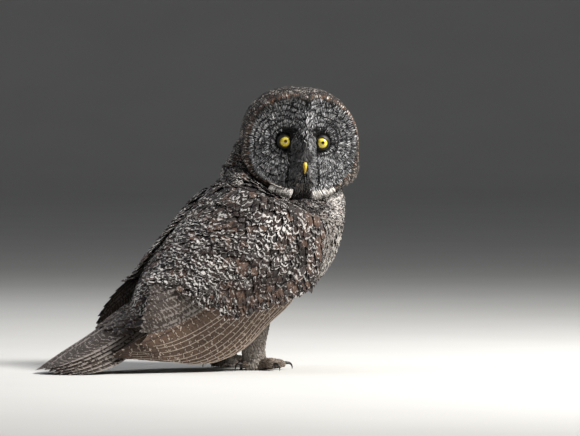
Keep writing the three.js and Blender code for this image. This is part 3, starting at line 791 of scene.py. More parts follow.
@dataclass
class Vanes:
    """A batch of feathers over one form, each a small curved sheet that follows it."""

    form: Form
    a: Array
    b: Array
    heading: Array
    length: Array
    width: Array
    root: Value = -4.0
    tip: Value = 1.0
    rows: int = 3
    columns: int = 2
    camber: float = 0.6
    curl: float = 0.0
    tilt: float = 0.6
    outline: tuple[Pair, ...] = ((0, 0.35), (0.25, 0.8), (0.55, 1.0), (0.8, 0.85), (0.93, 0.55), (1, 0.12))
    round: float = 0.12
    ragged: float = 0.0
    seed: int = 1

    def grid(self) -> tuple[Array, Array, Array, Array]:
        """Places, measures across and along in millimetres, and nearness to the edge, one row to a feather."""
        rng = default_rng(self.seed)
        count = len(self.a)
        u = np.linspace(0, 1, self.rows + 1) ** 0.85
        v = np.linspace(-1, 1, self.columns + 1)
        uu = np.broadcast_to(u[None, :, None], (count, self.rows + 1, self.columns + 1)).copy()
        vv = np.broadcast_to(v[None, None, :], uu.shape)
        knots = np.array(self.outline)
        half = np.interp(u, knots[:, 0], knots[:, 1])[None, :, None] * (self.width / 2)[:, None, None]
        fray = rng.uniform(-1, 1, (count, 1, self.columns + 1)) * self.ragged * uu**3
        uu = uu - self.round * vv**2 * uu**2 + fray
        over = uu * self.length[:, None, None]
        side = vv * half
        normal = self.form.outward(self.a, self.b)
        forward = unit(self.heading - normal * (self.heading * normal).sum(-1, keepdims=True))
        ways = (forward, np.cross(normal, forward))
        steps = [[step[:, None, None] for step in self.form.moved(self.a, self.b, way)] for way in ways]
        bend = self.curl * rng.uniform(-1, 1, count)[:, None, None] * over * uu
        move = side + bend
        pa = self.a[:, None, None] + over * steps[0][0] + move * steps[1][0]
        pb = self.b[:, None, None] + over * steps[0][1] + move * steps[1][1]
        root, tip = (np.broadcast_to(np.asarray(x, float), (count,))[:, None, None] for x in (self.root, self.tip))
        lean = rng.uniform(-1, 1, count)[:, None, None] * self.tilt
        stagger = rng.uniform(-0.5, 0.5, count)[:, None, None] * self.tilt
        lift = root + (tip - root) * np.clip(uu, 0, 1) ** 0.8 + self.camber * (1 - vv**2) + (lean * vv + stagger) * uu
        places = self.form.at(pa, pb, lift)
        end = np.where(u > 0.999, 1.0, 0.0)[None, :, None]
        return places, side, over, np.maximum(np.abs(vv), end)


@dataclass
class Hairs(Vanes):
    """Thin hairs, flat and widest in the middle."""

    columns: int = 1
    camber: float = 0.0
    outline: tuple[Pair, ...] = ((0, 0.5), (0.5, 1.0), (0.85, 0.8), (1, 0.25))


NO_MARKS = (0, 0, 0)
FLOOR_GAP = 0.4  # millimetres between the lowest feathers and the floor


def tag(mesh: Mesh, name: str, values: Array) -> None:
    """Adds a colour or vector for each point of a mesh.

    Args:
        mesh: the mesh.
        name: the attribute's name.
        values: four numbers a point for a colour, three for a vector.
    """
    kind, key = ("FLOAT_COLOR", "color") if values.shape[-1] == 4 else ("FLOAT_VECTOR", "vector")
    layer = mesh.attributes.new(name, kind, "POINT")
    layer.data.foreach_set(key, values.astype(np.float32).ravel())


def placed(name: str, data: ID) -> Object:
    """A new object in the scene."""
    made = bpy.data.objects.new(name, data)
    bpy.context.scene.collection.objects.link(made)
    return made


def tree_of(points: Array) -> kdtree.KDTree:
    """A search tree of points.

    Args:
        points: the points, in rows.

    Returns:
        The tree, which gives each point's row number.
    """
    tree = kdtree.KDTree(len(points))
    for k, point in enumerate(points):
        tree.insert(point, k)
    tree.balance()
    return tree


class Coat:
    """One piece of plumage: batches of feathers joined in one mesh, with their colours and bake map."""

    def __init__(self, name: str, finish: FeatherFinish, slot: Slot) -> None:
        """An empty piece."""
        self.name, self.finish, self.slot = name, finish, slot
        self.lists: dict[str, list[Array]] = {k: [] for k in ("place", "quad", "ground", "marks", "span", "bake")}
        self.roots: list[Arrays] = []
        self.count = self.feathers = 0

    def add(
        self, vanes: "Vanes | Quills", ground: Array, marks: Array | tuple, unwrap: Array, patch: Pair = (0.003, 0.003)
    ) -> None:
        """Adds a batch.

        Args:
            vanes: the feathers.
            ground: a colour for each feather, or for each of its rows.
            marks: pale, dark and edge shares for all feathers, for each, or for each of its rows.
            unwrap: each root's place on the unwrap.
            patch: the size of a feather's patch on the bake map.
        """
        places, side, over, rim = vanes.grid()
        n, rows, columns, _ = places.shape
        index = np.arange(n * rows * columns).reshape(n, rows, columns) + self.count
        luck = default_rng(vanes.seed + 77).uniform(0, 1000, n)[:, None, None]

        def spread(values: Array | tuple) -> Array:
            """Values for each corner."""
            values = np.asarray(values, float)
            if values.ndim == 2:
                values = values[:, None, :]
            return np.broadcast_to(values[..., None, :], places.shape)

        v, u = np.meshgrid(np.linspace(0, 1, rows) - 0.5, np.linspace(0, 1, columns) - 0.5, indexing="ij")
        batch = {
            "place": places,
            "quad": stacked(index[:, :-1, :-1], index[:, :-1, 1:], index[:, 1:, 1:], index[:, 1:, :-1]),
            "ground": np.concatenate([spread(ground), rim[..., None]], -1),
            "marks": spread(marks),
            "span": stacked(side, over, luck),
            "bake": unwrap[:, None, None, :] + stacked(u * patch[0], v * patch[1]),
        }
        for key, values in batch.items():
            self.lists[key].append(values.reshape(-1, values.shape[-1]))
        self.roots.append((vanes.form.base(vanes.a, vanes.b), ground if ground.ndim == 2 else ground[:, 1]))
        self.count += index.size
        self.feathers += n

    def finish_piece(self, place: "Place") -> Object:
        """Makes the object.

        Args:
            place: turns millimetres into the row frame.

        Returns:
            The dressed piece.
        """
        joined = {key: np.concatenate(values) for key, values in self.lists.items()}
        points = place(joined["place"])
        points[:, 2] = np.maximum(points[:, 2], FLOOR_GAP * MM)
        quads = joined["quad"].astype(np.int32)
        mesh = bpy.data.meshes.new(self.name)
        mesh.vertices.add(len(points))
        mesh.vertices.foreach_set("co", points.astype(np.float32).ravel())
        mesh.loops.add(quads.size)
        mesh.loops.foreach_set("vertex_index", quads.ravel())
        mesh.polygons.add(len(quads))
        mesh.polygons.foreach_set("loop_start", np.arange(0, quads.size, 4, dtype=np.int32))
        mesh.update(calc_edges=True)
        mesh.shade_smooth()
        bake = mesh.uv_layers.new(name="OFBake")
        bake.uv.foreach_set("vector", joined["bake"][quads.ravel()].astype(np.float32).ravel())
        tag(mesh, "ground", joined["ground"])
        tag(mesh, "marks", joined["marks"])
        tag(mesh, "place", joined["span"])
        mesh.validate()
        piece = placed(self.name, mesh)
        mesh.materials.append(self.finish.make())
        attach(piece, BODY)
        log.info("%s: %d feathers, %d triangles", self.name, self.feathers, 2 * len(quads))
        return piece


class Place:
    """Turns places in millimetres, as the forms give them, into metres in the row frame."""

    def __init__(self) -> None:
        """Finds the frame's offset from the right eye."""
        low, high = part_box("eye_right")
        middle = (np.array(low) + np.array(high)) / 2
        self.offset = middle - in_head(EYE_OUT, -EYE_APART / 2, EYE_UP) * MM

    def __call__(self, points: Array) -> Array:
        """Places in the row frame."""
        return np.asarray(points, float) * MM + self.offset


def scatter(
    form: Form, a_span: Pair, b_span: Pair, spacing: float, seed: int
) -> Arrays:
    """Roots spread evenly over part of a form.

    Args:
        form: the surface.
        a_span: first and last value of its first number.
        b_span: the same of its second.
        spacing: millimetres between neighbours.
        seed: for the draw.

    Returns:
        Both numbers of every root.
    """
    rng = default_rng(seed)
    cells = 120
    a = np.linspace(*a_span, cells + 1)
    b = np.linspace(*b_span, cells + 1)
    mid_a, mid_b = np.meshgrid((a[1:] + a[:-1]) / 2, (b[1:] + b[:-1]) / 2, indexing="ij")
    slope_a, slope_b = form.slopes(mid_a, mid_b)
    area = np.linalg.norm(np.cross(slope_a, slope_b), axis=-1) * (a[1] - a[0]) * (b[1] - b[0])
    tries = int(area.sum() / spacing**2 * 9) + 50
    chosen = rng.choice(area.size, tries, p=(area / area.sum()).ravel())
    i, j = np.unravel_index(chosen, area.shape)
    ca = a[i] + rng.random(tries) * (a[1] - a[0])
    cb = b[j] + rng.random(tries) * (b[1] - b[0])
    spots = form.base(ca, cb)
    _, first = np.unique(np.floor(spots / (spacing * 0.55)).astype(np.int64), axis=0, return_index=True)
    first = np.sort(first)
    ca, cb, spots = ca[first], cb[first], spots[first]
    tree = tree_of(spots)
    dropped = np.zeros(len(spots), bool)
    kept = []
    for k, spot in enumerate(spots):
        if dropped[k]:
            continue
        kept.append(k)
        for _, other, _ in tree.find_range(spot, spacing * 0.8):
            if other != k:
                dropped[other] = True
    kept = np.array(kept)
    return ca[kept], cb[kept]


def spread_on(
    a: Array, b: Array, a_span: Pair, b_span: Pair, corner: Pair = (0.02, 0.02), size: Pair = (0.96, 0.96)
) -> Array:
    """Roots' places on the unwrap.

    Args:
        a: first numbers.
        b: second numbers.
        a_span: the range of the first.
        b_span: the range of the second.
        corner: the lower corner of the region's part of the map.
        size: its width and height.

    Returns:
        Two numbers for each root.
    """
    fa = (a - a_span[0]) / (a_span[1] - a_span[0])
    fb = (b - b_span[0]) / (b_span[1] - b_span[0])
    return stacked(corner[0] + fb * size[0], corner[1] + fa * size[1])


@dataclass
class Quills:
    """Long feathers that run from a listed root to a listed tip over their form, stacked like cards."""

    form: Form
    a: Array
    b: Array
    tips: Arrays
    width: Array
    lift: Array
    bow: float = 0.03
    rows: int = 18
    columns: int = 6
    blunt: float = 0.5
    seed: int = 1

    def grid(self) -> tuple[Array, Array, Array, Array]:
        """Places, measures across and along in millimetres, and nearness to the edge, one row to a feather."""
        rng = default_rng(self.seed)
        count = len(self.a)
        u = 1 - (1 - np.linspace(0, 1, self.rows + 1)) ** 1.5
        v = np.linspace(-1, 1, self.columns + 1)
        shape = (count, self.rows + 1, self.columns + 1)
        end = smooth(u, 0.86, 1)[None, :, None]
        fray = rng.uniform(-1, 1, (count, 1, self.columns + 1)) * 0.012
        vv = np.broadcast_to(v[None, None, :], shape)
        uu = np.broadcast_to(u[None, :, None], shape) * (1 - 0.05 * vv**2 * end) + fray * end
        round_tip = np.sqrt(np.maximum(0.0, 1 - np.maximum(0, (u - 0.93) / 0.072) ** 2))
        taper = lerp(0.6, 1.0, smooth(u, 0, 0.3)) * (1 - (1 - self.blunt) * smooth(u, 0.7, 1) ** 1.5)
        half = (taper * (0.25 + 0.75 * round_tip))[None, :, None] * (self.width / 2)[:, None, None]
        notch = 1 - 0.07 * np.maximum(0, noise(stacked(uu * 16, vv * 0.5 + 5, np.arange(count)[:, None, None]), 5))
        side = vv * half * np.where(np.abs(vv) > 0.9, notch, 1)
        ra, rb, ta, tb = (x[:, None, None] for x in (self.a, self.b, *self.tips))
        a = lerp(ra, ta, uu)
        b = lerp(rb, tb, uu) + self.bow * np.sin(np.pi * np.clip(uu, 0, 1))
        slope_a, slope_b = self.form.slopes(a, b)
        run_a = ta - ra + 0 * a
        run_b = tb - rb + self.bow * np.pi * np.cos(np.pi * np.clip(uu, 0, 1))
        shaft = slope_a * run_a[..., None] + slope_b * run_b[..., None]
        normal = self.form.outward(a, b)
        step_a, step_b = self.form.moved(a, b, unit(np.cross(normal, shaft)))
        a = a + side * step_a
        b = b + side * step_b
        camber = 0.75 * (1 - vv**2) + 0.35 * bell(vv, 0, 0.12)
        places = self.form.at(a, b, self.lift[:, None, None] + camber)
        length = np.linalg.norm(np.diff(places[:, :, self.columns // 2], axis=1), axis=-1).sum(1)
        rim = np.maximum(np.abs(vv), smooth(uu, 0.93, 1.0))
        return places, side, length[:, None, None] * uu, rim


# Markings, shared by the feathers and the skin under them


def pick(weights: list[Value], colours: list[Colour], luck: Array) -> Array:
    """One of the colours for each feather.

    Args:
        weights: how likely each colour is, one for all feathers or one for each.
        colours: the colours.
        luck: a draw between 0 and 1 for each feather.

    Returns:
        A colour in linear light for each feather.
    """
    stack = np.stack([np.broadcast_to(w, luck.shape) for w in weights], -1)
    edges = np.cumsum(stack / stack.sum(-1, keepdims=True), -1)
    index = (luck[:, None] > edges).sum(-1).clip(0, len(colours) - 1)
    return np.array([tone(*c) for c in colours])[index]


def shade(colour: Array, amount: Array) -> Array:
    """Lightens or darkens colours by a factor for each feather."""
    return colour * np.asarray(amount)[:, None]


def polar(a: Array, b: Array, reach: float = 1.0) -> Array:
    """Roots' places on an unwrap that lays a dome out flat."""
    return stacked(0.5 + 0.48 * a / reach * np.sin(b), 0.5 + 0.48 * a / reach * np.cos(b))


@dataclass
class HeadPlumage:
    """Facial disc, its rim, and the feathers of crown and nape."""

    disc_spacing: float = 2.0
    hair_spacing: float = 1.25
    rim_spacing: float = 1.5
    crown_spacing: float = 3.0
    ring: float = 6.3
    form: HeadForm = field(default_factory=HeadForm)

    def disc_roots(self, spacing: float, inner: float, reach: float, seed: int) -> dict[str, Array]:
        """Roots on the disc, with where they are and how light or dark their place is.

        Args:
            spacing: millimetres between neighbours.
            inner: how near the eye's middle they come.
            reach: how far beyond its root a feather shows, for the rings.
            seed: for the draw.

        Returns:
            Their numbers on the form, heading, and shares of light and dark.
        """
        a, b = scatter(self.form, (0.03, 0.945), (0, TURN), spacing, seed)
        rim = disc_rim(b)
        left, up = np.sin(b) * rim * a, np.cos(b) * rim * a
        dx, dy = left - np.where(left > 0, 1, -1) * EYE_APART / 2, up - EYE_UP
        away = np.hypot(dx, dy)
        keep = (away > inner) & ~((np.abs(left) < 3.0) & (up < -25) & (up > -39))
        a, b, left, up, dx, dy, away = (x[keep] for x in (a, b, left, up, dx, dy, away))
        middle = bell(left, 0, 9)
        hx = dx / away * (1 - 0.8 * middle) + np.sign(left) * 0.35 * bell(up, -30, 14) * bell(left, 0, 16)
        hy = dy / away + middle * 1.5 * np.where(up > 4, 1, -1)
        heading = facing(hx, hy)
        spots = self.form.base(a, b)
        rings = np.sin(TURN * (away + reach) / self.ring + 1.1 * noise(spots / 9, 3) + 2.57)
        ringed = smooth(rings, -0.35, 0.35) * smooth(away, 14, 19) * (0.45 + 0.55 * smooth(up, -30, 10))
        # the dark patch round each eye is partly the owl's own dark surround and partly painted shade: it reaches
        # farther above and towards the bill, where the brow and the ridge shade it
        inward = -np.sign(left) * dx / away
        patch = 1 - smooth(away * (1 - 0.3 * np.clip(inward + 0.35 * dy / away, -0.6, 1)), 13.0, 18.0)
        band = bell(np.abs(left) - (10.5 + 4 * smooth(-up, 0, 50)), 0, 4.5)
        band = band * smooth(up, -56, -44) * (1 - smooth(up, 14, 30))
        fold = bell(np.abs(left) - (19 + 3 * smooth(-up, 10, 50)), 0, 1.7)
        fold = fold * smooth(-up, 2, 12) * (1 - smooth(-up, 44, 56))
        line = bell(left, 0, 1.7 + 4 * smooth(up, 46, 66)) * np.maximum(smooth(up, 34, 60), bell(up, 6, 16))
        bib = (1 - smooth(np.abs(left), 8, 12)) * (1 - smooth(up, -50, -43))
        gape = (1 - smooth(np.abs(left), 3, 8)) * bell(up, -36, 10)
        dark = np.clip(patch * (1 - 0.55 * band) + 0.8 * fold + line + bib + 0.8 * gape, 0, 1)
        return {
            "a": a, "b": b, "left": left, "up": up, "away": away, "heading": heading, "ringed": ringed, "dark": dark,
            "band": band * (1 - dark), "spots": spots,
        }

    def face(self) -> Coat:
        """The disc: dark grey feathers that spread from each eye in dusky rings, with pale hairs over them."""
        finish = FeatherFinish(
            "disc_feathers", Pattern.STREAK, (214, 214, 218), (22, 21, 23), shaft=0.2, roughness=0.85
        )
        coat = Coat("facial_disc", finish, Slot.PALE)
        roots = self.disc_roots(self.disc_spacing, 9.4, 6.5, 11)
        a, b, away, dark, ringed = (roots[k] for k in ("a", "b", "away", "dark", "ringed"))
        rng = default_rng(12)
        count = len(a)
        luck = rng.random(count)
        top = smooth(roots["up"], -12, 12)
        weights = [0.4 + 7.0 * ringed, 0.8 - 0.7 * ringed, (0.3 + 1.6 * top) * (1 - ringed) ** 2]
        colour = pick(weights, [(32, 31, 34), (72, 72, 76), (128, 128, 132)], luck)
        colour = shade(colour, 0.8 + 0.4 * rng.random(count))
        colour = blend(colour, shade(tone(142, 142, 144), 0.6 + 0.6 * luck), roots["band"] * 0.85)
        colour = blend(colour, tone(20, 18, 19), dark)
        marks = stacked(0.3 * (1 - dark) * (1 - ringed), 0.35, 0)
        size = lerp(0.5, 1.0, smooth(away, 10, 24)) * (1 - 0.25 * bell(roots["left"], 0, 8))
        vanes = Vanes(
            self.form, a, b, roots["heading"], 7.5 * size, 2.6 * lerp(0.8, 1.1, luck) * lerp(0.7, 1, size), root=-1.4,
            tip=0.9, camber=0.35, curl=0.012, tilt=0.5, seed=13, ragged=0.03,
        )
        coat.add(vanes, colour, marks, polar(a, b))
        roots = self.disc_roots(self.hair_spacing, 10.5, 2.6, 14)
        rng = default_rng(15)
        luck = rng.random(len(roots["a"]))
        clump = noise(roots["spots"] / 3.2, 17)
        spare = luck < (0.62 + 0.45 * clump) * (1 - 0.7 * roots["ringed"]) * (1 - roots["dark"]) ** 1.5
        roots = {k: v[spare] for k, v in roots.items()}
        luck = rng.random(len(roots["a"]))
        # painted light and shade: the pale hairs are lighter over the upper half, where the light from above falls,
        # darker over the bird's right half, which is in shade, and darker still near the rim on that side
        edge = smooth(roots["a"], 0.8, 0.93) * (roots["left"] < 0)
        bright = lerp(0.82, 1.25, smooth(roots["up"], -14, 14)) * np.where(roots["left"] < 0, 0.88, 1.0)
        white = tone(236, 236, 238) * (bright * (0.3 + 0.95 * luck**1.3) * (1 - 0.7 * edge))[:, None]
        size = lerp(0.55, 1.0, smooth(roots["away"], 10, 24))
        vanes = Hairs(
            self.form, roots["a"], roots["b"], roots["heading"], (4.8 + 2.4 * luck) * size, 0.75 + 0.3 * luck,
            root=-0.4, tip=1.6, curl=0.09, tilt=0.8, seed=16,
        )
        coat.add(vanes, white, NO_MARKS, polar(roots["a"], roots["b"]))
        self.arcs(coat)
        return coat

    def on_disc(self, left: Array, up: Array) -> Arrays:
        """The form's two numbers at places on the face."""
        turn = np.mod(np.arctan2(left, up), TURN)
        return np.hypot(left, up) / disc_rim(turn), turn

    def arcs(self, coat: Coat) -> None:
        """Dark rings round each eye, of small feathers laid end to end over the pale hairs.

        Args:
            coat: the piece that takes them.
        """
        rng = default_rng(141)
        for side in (-1, 1):
            for radius in (18.5, 24.0, 30.0, 36.0, 42.5, 49.0, 55.5):
                count = int(TURN * radius / 1.25)
                turn = np.linspace(0, TURN, count, endpoint=False) + rng.uniform(-0.02, 0.02, count)
                wobble = noise(stacked(np.cos(turn) * radius / 8, np.sin(turn) * radius / 8, radius + side), 142)
                reach = radius + 3.0 * wobble + rng.uniform(-0.8, 0.8, count)
                left = side * (EYE_APART / 2 + reach * np.sin(turn))
                up = EYE_UP + reach * np.cos(turn)
                a, b = self.on_disc(left, up)
                gap = noise(stacked(turn * radius / 6, radius, 0), 143 + side)
                likely = (0.95 - 0.75 * smooth(-up, -8, 24) + 0.9 * gap) * (1 - 0.6 * bell(np.abs(left), 8, 6))
                keep = (a < 0.93) & (side * left > 2.5) & (rng.random(count) < likely)
                a, b, turn, left, up = a[keep], b[keep], turn[keep], left[keep], up[keep]
                heading = facing(side * np.cos(turn), -np.sin(turn))
                luck = rng.random(len(a))
                vanes = Hairs(
                    FaceForm(), left, up, heading, 3.8 + 1.4 * luck, 1.2 + 0.6 * luck, root=1.2, tip=2.2, rows=2,
                    curl=0.06, tilt=0.3, seed=144 + side,
                )
                colour = shade(tone(32, 31, 34), 0.7 + 0.8 * luck)
                coat.add(vanes, colour, NO_MARKS, polar(a, b))

    def band(self, coat: Coat, span: Pair, tones: list[Colour], count: int, seed: int) -> None:
        """Smooth narrow feathers that run down the face beside the bill.

        Args:
            coat: the piece that takes them.
            span: nearest and farthest place from the middle line, in millimetres.
            tones: their colours.
            count: how many on both sides together.
            seed: for the draw.
        """
        rng = default_rng(seed)
        side = rng.choice([-1, 1], count)
        up = rng.uniform(-46, 16, count)
        middle = (span[0] + span[1]) / 2 + 2.5 * smooth(-up, 10, 50) - 2.0 * smooth(up, 0, 16)
        left = side * (middle + (span[1] - span[0]) / 2 * rng.uniform(-1, 1, count))
        a, b = self.on_disc(left, up)
        heading = facing(side * (0.12 + 0.3 * smooth(-up, 10, 46) + 0.5 * smooth(up, -6, 14)))
        luck = rng.random(count)
        colour = pick([1.0] * len(tones), tones, luck)
        # painted shade: the feathers on the bird's right side of the bill are darkened to 0.45, as that side is in
        # shade
        colour = shade(colour, (0.6 + 0.7 * rng.random(count)) * np.where(side < 0, 0.45, 1.0))
        vanes = Hairs(
            FaceForm(), left, up, heading, 6 + 4 * luck, 0.9 + 0.4 * luck, root=0.0, tip=1.9, curl=0.05, tilt=0.5,
            seed=seed + 1,
        )
        coat.add(vanes, colour, NO_MARKS, polar(a, b))

    def throat(self) -> Coat:
        """The dark bib under the bill and a white tuft on both sides of it, below the disc."""
        finish = FeatherFinish("throat_feathers", Pattern.STREAK, (214, 208, 202), (26, 22, 22), cover=0.3, shaft=0.1)
        coat = Coat("throat", finish, Slot.PALE)
        form = FaceForm(7.0, 5.0)
        rng = default_rng(151)
        for kind, count in (("bib", 420), ("tuft", 520)):
            side = rng.choice([-1, 1], count)
            luck = rng.random(count)
            if kind == "bib":
                up = rng.uniform(-72, -50, count)
                left = side * rng.random(count) * (9 + 4 * smooth(-up, 52, 66))
                colour = pick([2.2, 0.9, 0.25], [(26, 23, 23), (54, 44, 40), (120, 114, 110)], luck)
                length, aside = 9 + 5 * luck, side * 0.1
            else:
                along_rim = rng.random(count)
                left = side * lerp(13, 43, along_rim)
                foot = -disc_rim(np.full(count, math.pi)) * (1 - (np.abs(left) / 78) ** 2.3) ** (1 / 2.3)
                up = foot - rng.uniform(-1.5, 5.5, count) * (1 - 0.5 * along_rim)
                weights = [3.4 - 1.8 * along_rim, 0.5, 0.15 + 0.8 * along_rim]
                colour = pick(weights, [(244, 240, 234), (186, 178, 170), (44, 38, 36)], luck)
                length, aside = 8 + 4 * luck, side * (0.5 + 0.3 * along_rim)
            heading = facing(aside)
            vanes = Vanes(
                form, left, up, heading, length, 2.0 + 0.9 * luck, root=-2.5, tip=0.8, camber=0.3, curl=0.02, tilt=0.8,
                seed=152 + len(kind), ragged=0.06,
            )
            colour = shade(colour, (0.8 if kind == "bib" else 1.0) + 0.4 * rng.random(count))
            coat.add(vanes, colour, (0.2, 0.2, 0), stacked(0.5 + left / 100, 1.2 + up / 100))
        return coat

    def bristles(self) -> Coat:
        """Thin grey bristles that sweep down both sides of the bill and hide its root."""
        finish = FeatherFinish("bristle_feathers", Pattern.STREAK, (206, 204, 204), (30, 27, 27), shaft=0.1)
        coat = Coat("bristles", finish, Slot.PALE)
        self.band(coat, (4.0, 16.0), [(70, 70, 72), (124, 124, 126), (168, 168, 170), (190, 190, 192)], 1300, 161)
        self.band(coat, (18.6, 20.4), [(20, 18, 19), (40, 38, 39)], 130, 163)
        rng = default_rng(131)
        over = 420
        up = rng.uniform(-17, 10, over)
        left = rng.uniform(-5.4, 5.4, over)
        a, b = self.on_disc(left, up)
        heading = facing(0.08 * left)
        luck = rng.random(over)
        colour = pick([0.9, 1.0, 0.5], [(34, 32, 33), (70, 69, 70), (118, 116, 116)], luck)
        vanes = Hairs(
            FaceForm(), left, up, heading, 9 + 3.5 * luck, 0.9 + 0.4 * luck, root=0.2,
            tip=1.6 + 7.4 * smooth(-up, -2, 12), rows=4, curl=0.03, tilt=0.5, seed=133,
        )
        coat.add(vanes, colour, NO_MARKS, polar(a, b))
        count = 340
        side = rng.choice([-1, 1], count)
        up = rng.uniform(-46, -6, count)
        left = side * (rng.uniform(0.6, 4.5, count) + 5 * smooth(-up, 22, 44))
        a, b = self.on_disc(left, up)
        heading = facing(side * (0.22 + 0.5 * smooth(-up, 26, 46))) + 0.15 * HEAD_AXES[0]
        luck = rng.random(count)
        colour = pick([0.8, 0.7, 0.5], [(52, 50, 51), (112, 110, 110), (176, 174, 172)], luck)
        vanes = Hairs(
            FaceForm(), left, up, heading, 9 + 6 * rng.random(count), 0.8 + 0.4 * luck, root=-0.5, tip=2.8, rows=4,
            curl=0.04, tilt=0.8, seed=132,
        )
        coat.add(vanes, colour, NO_MARKS, polar(a, b))
        return coat

    def rim(self) -> Coat:
        """The disc's edge: short stiff feathers in rust, black and white, white below at both sides of the chin."""
        finish = FeatherFinish("rim_feathers", Pattern.STREAK, (222, 206, 186), (24, 20, 18), shaft=0.1)
        coat = Coat("disc_rim", finish, Slot.PALE)
        a, b = scatter(self.form, (0.935, 1.03), (0, TURN), self.rim_spacing, 21)
        rng = default_rng(22)
        luck = rng.random(len(a))
        off = np.abs(b - math.pi)
        white = smooth(off, 0.2, 0.3) * (1 - smooth(off, 0.62, 0.85)) * smooth(a, 0.96, 0.99)
        black = (
            1 - smooth(off, 0.16, 0.24) + bell(np.minimum(b, TURN - b), 0, 0.07)
            + 1.2 * (1 - smooth(a, 0.936, 0.95))
        )
        beads = np.sin(b * disc_rim(b) * TURN / 4.2 + 3 * noise(stacked(b * 22, a * 30, 0), 4))
        dot = smooth(beads, 0.35, 0.8) * bell(a, 0.975, 0.02)
        gloom = smooth(a, 1.0, 1.02)
        dusk = 0.6 + black * 9 + 1.2 * smooth(-beads, 0.1, 0.6) + 1.5 * gloom
        weights = [0.8 - white * 0.8, dusk, 0.1 + 1.7 * dot + white * 14]
        colour = pick(weights, [(112, 76, 55), (22, 18, 17), (218, 210, 200)], luck)
        colour = shade(colour, 0.7 + 0.5 * rng.random(len(a)))
        vanes = Vanes(
            self.form, a, b, self.form.slopes(a, b)[0], 4.6 + 1.6 * luck + 3 * white, 1.8 + 0.5 * luck + 0.8 * white,
            root=-1.2, tip=2.2, camber=0.3, tilt=0.5, seed=23,
        )
        coat.add(vanes, colour, (0.1, 0.15, 0), polar(a, b, 1.2))
        return coat

    def crown(self) -> Coat:
        """Crown, cheeks and nape: dark, with pale wavy marks."""
        finish = FeatherFinish(
            "crown_feathers", Pattern.WAVE, (216, 206, 196), (22, 18, 17), period=5.6, cover=0.3, fine=1.4
        )
        coat = Coat("crown", finish, Slot.PALE)
        a, b = scatter(self.form, (1.03, 1.985), (0, TURN), self.crown_spacing, 31)
        spots = self.form.base(a, b)
        keep = ~((spots[:, 2] < 262) & (np.linalg.norm((spots - NECK_CENTRE) * [1, 1, 0], axis=-1) < 62)) | (a < 1.22)
        a, b, spots = a[keep], b[keep], spots[keep]
        rng = default_rng(32)
        luck = rng.random(len(a))
        low = 1 - smooth(spots[:, 2], 268, 292)
        cheek = low * smooth(np.sin(b), 0.1, 0.6) * (1 - smooth(a, 1.1, 1.3))
        heading = unit(self.form.slopes(a, b)[0]) + np.array([0, 0, -0.3])
        near = 1 - smooth(a, 1.05, 1.2)
        clump = noise(spots / 7, 6)
        weights = [1.7 - 0.4 * clump, 0.5, 0.15 + 0.4 * near, 0.08 + 0.5 * cheek]
        colours = [(20, 16, 15), (34, 29, 27), (68, 48, 37), (120, 114, 108)]
        colour = shade(pick(weights, colours, luck), 0.7 + 0.5 * rng.random(len(a)))
        marks = stacked(0.06 + 0.75 * clump + 0.5 * cheek, 0.3, 0.4 * clump + 0.3 * cheek)
        vanes = Vanes(
            self.form, a, b, heading, lerp(7, 14, smooth(a, 1.05, 1.5)) + 7 * cheek,
            lerp(3.4, 6.5, smooth(a, 1.05, 1.4)) - 1.2 * cheek, root=-3, tip=1.2 + 4.5 * cheek * luck, camber=0.5,
            tilt=0.8, seed=33, ragged=0.06,
        )
        coat.add(vanes, colour, marks, polar(a, b, 2.0))
        return coat

    def build(self) -> list[Coat]:
        """All five pieces."""
        return [self.face(), self.bristles(), self.rim(), self.throat(), self.crown()]


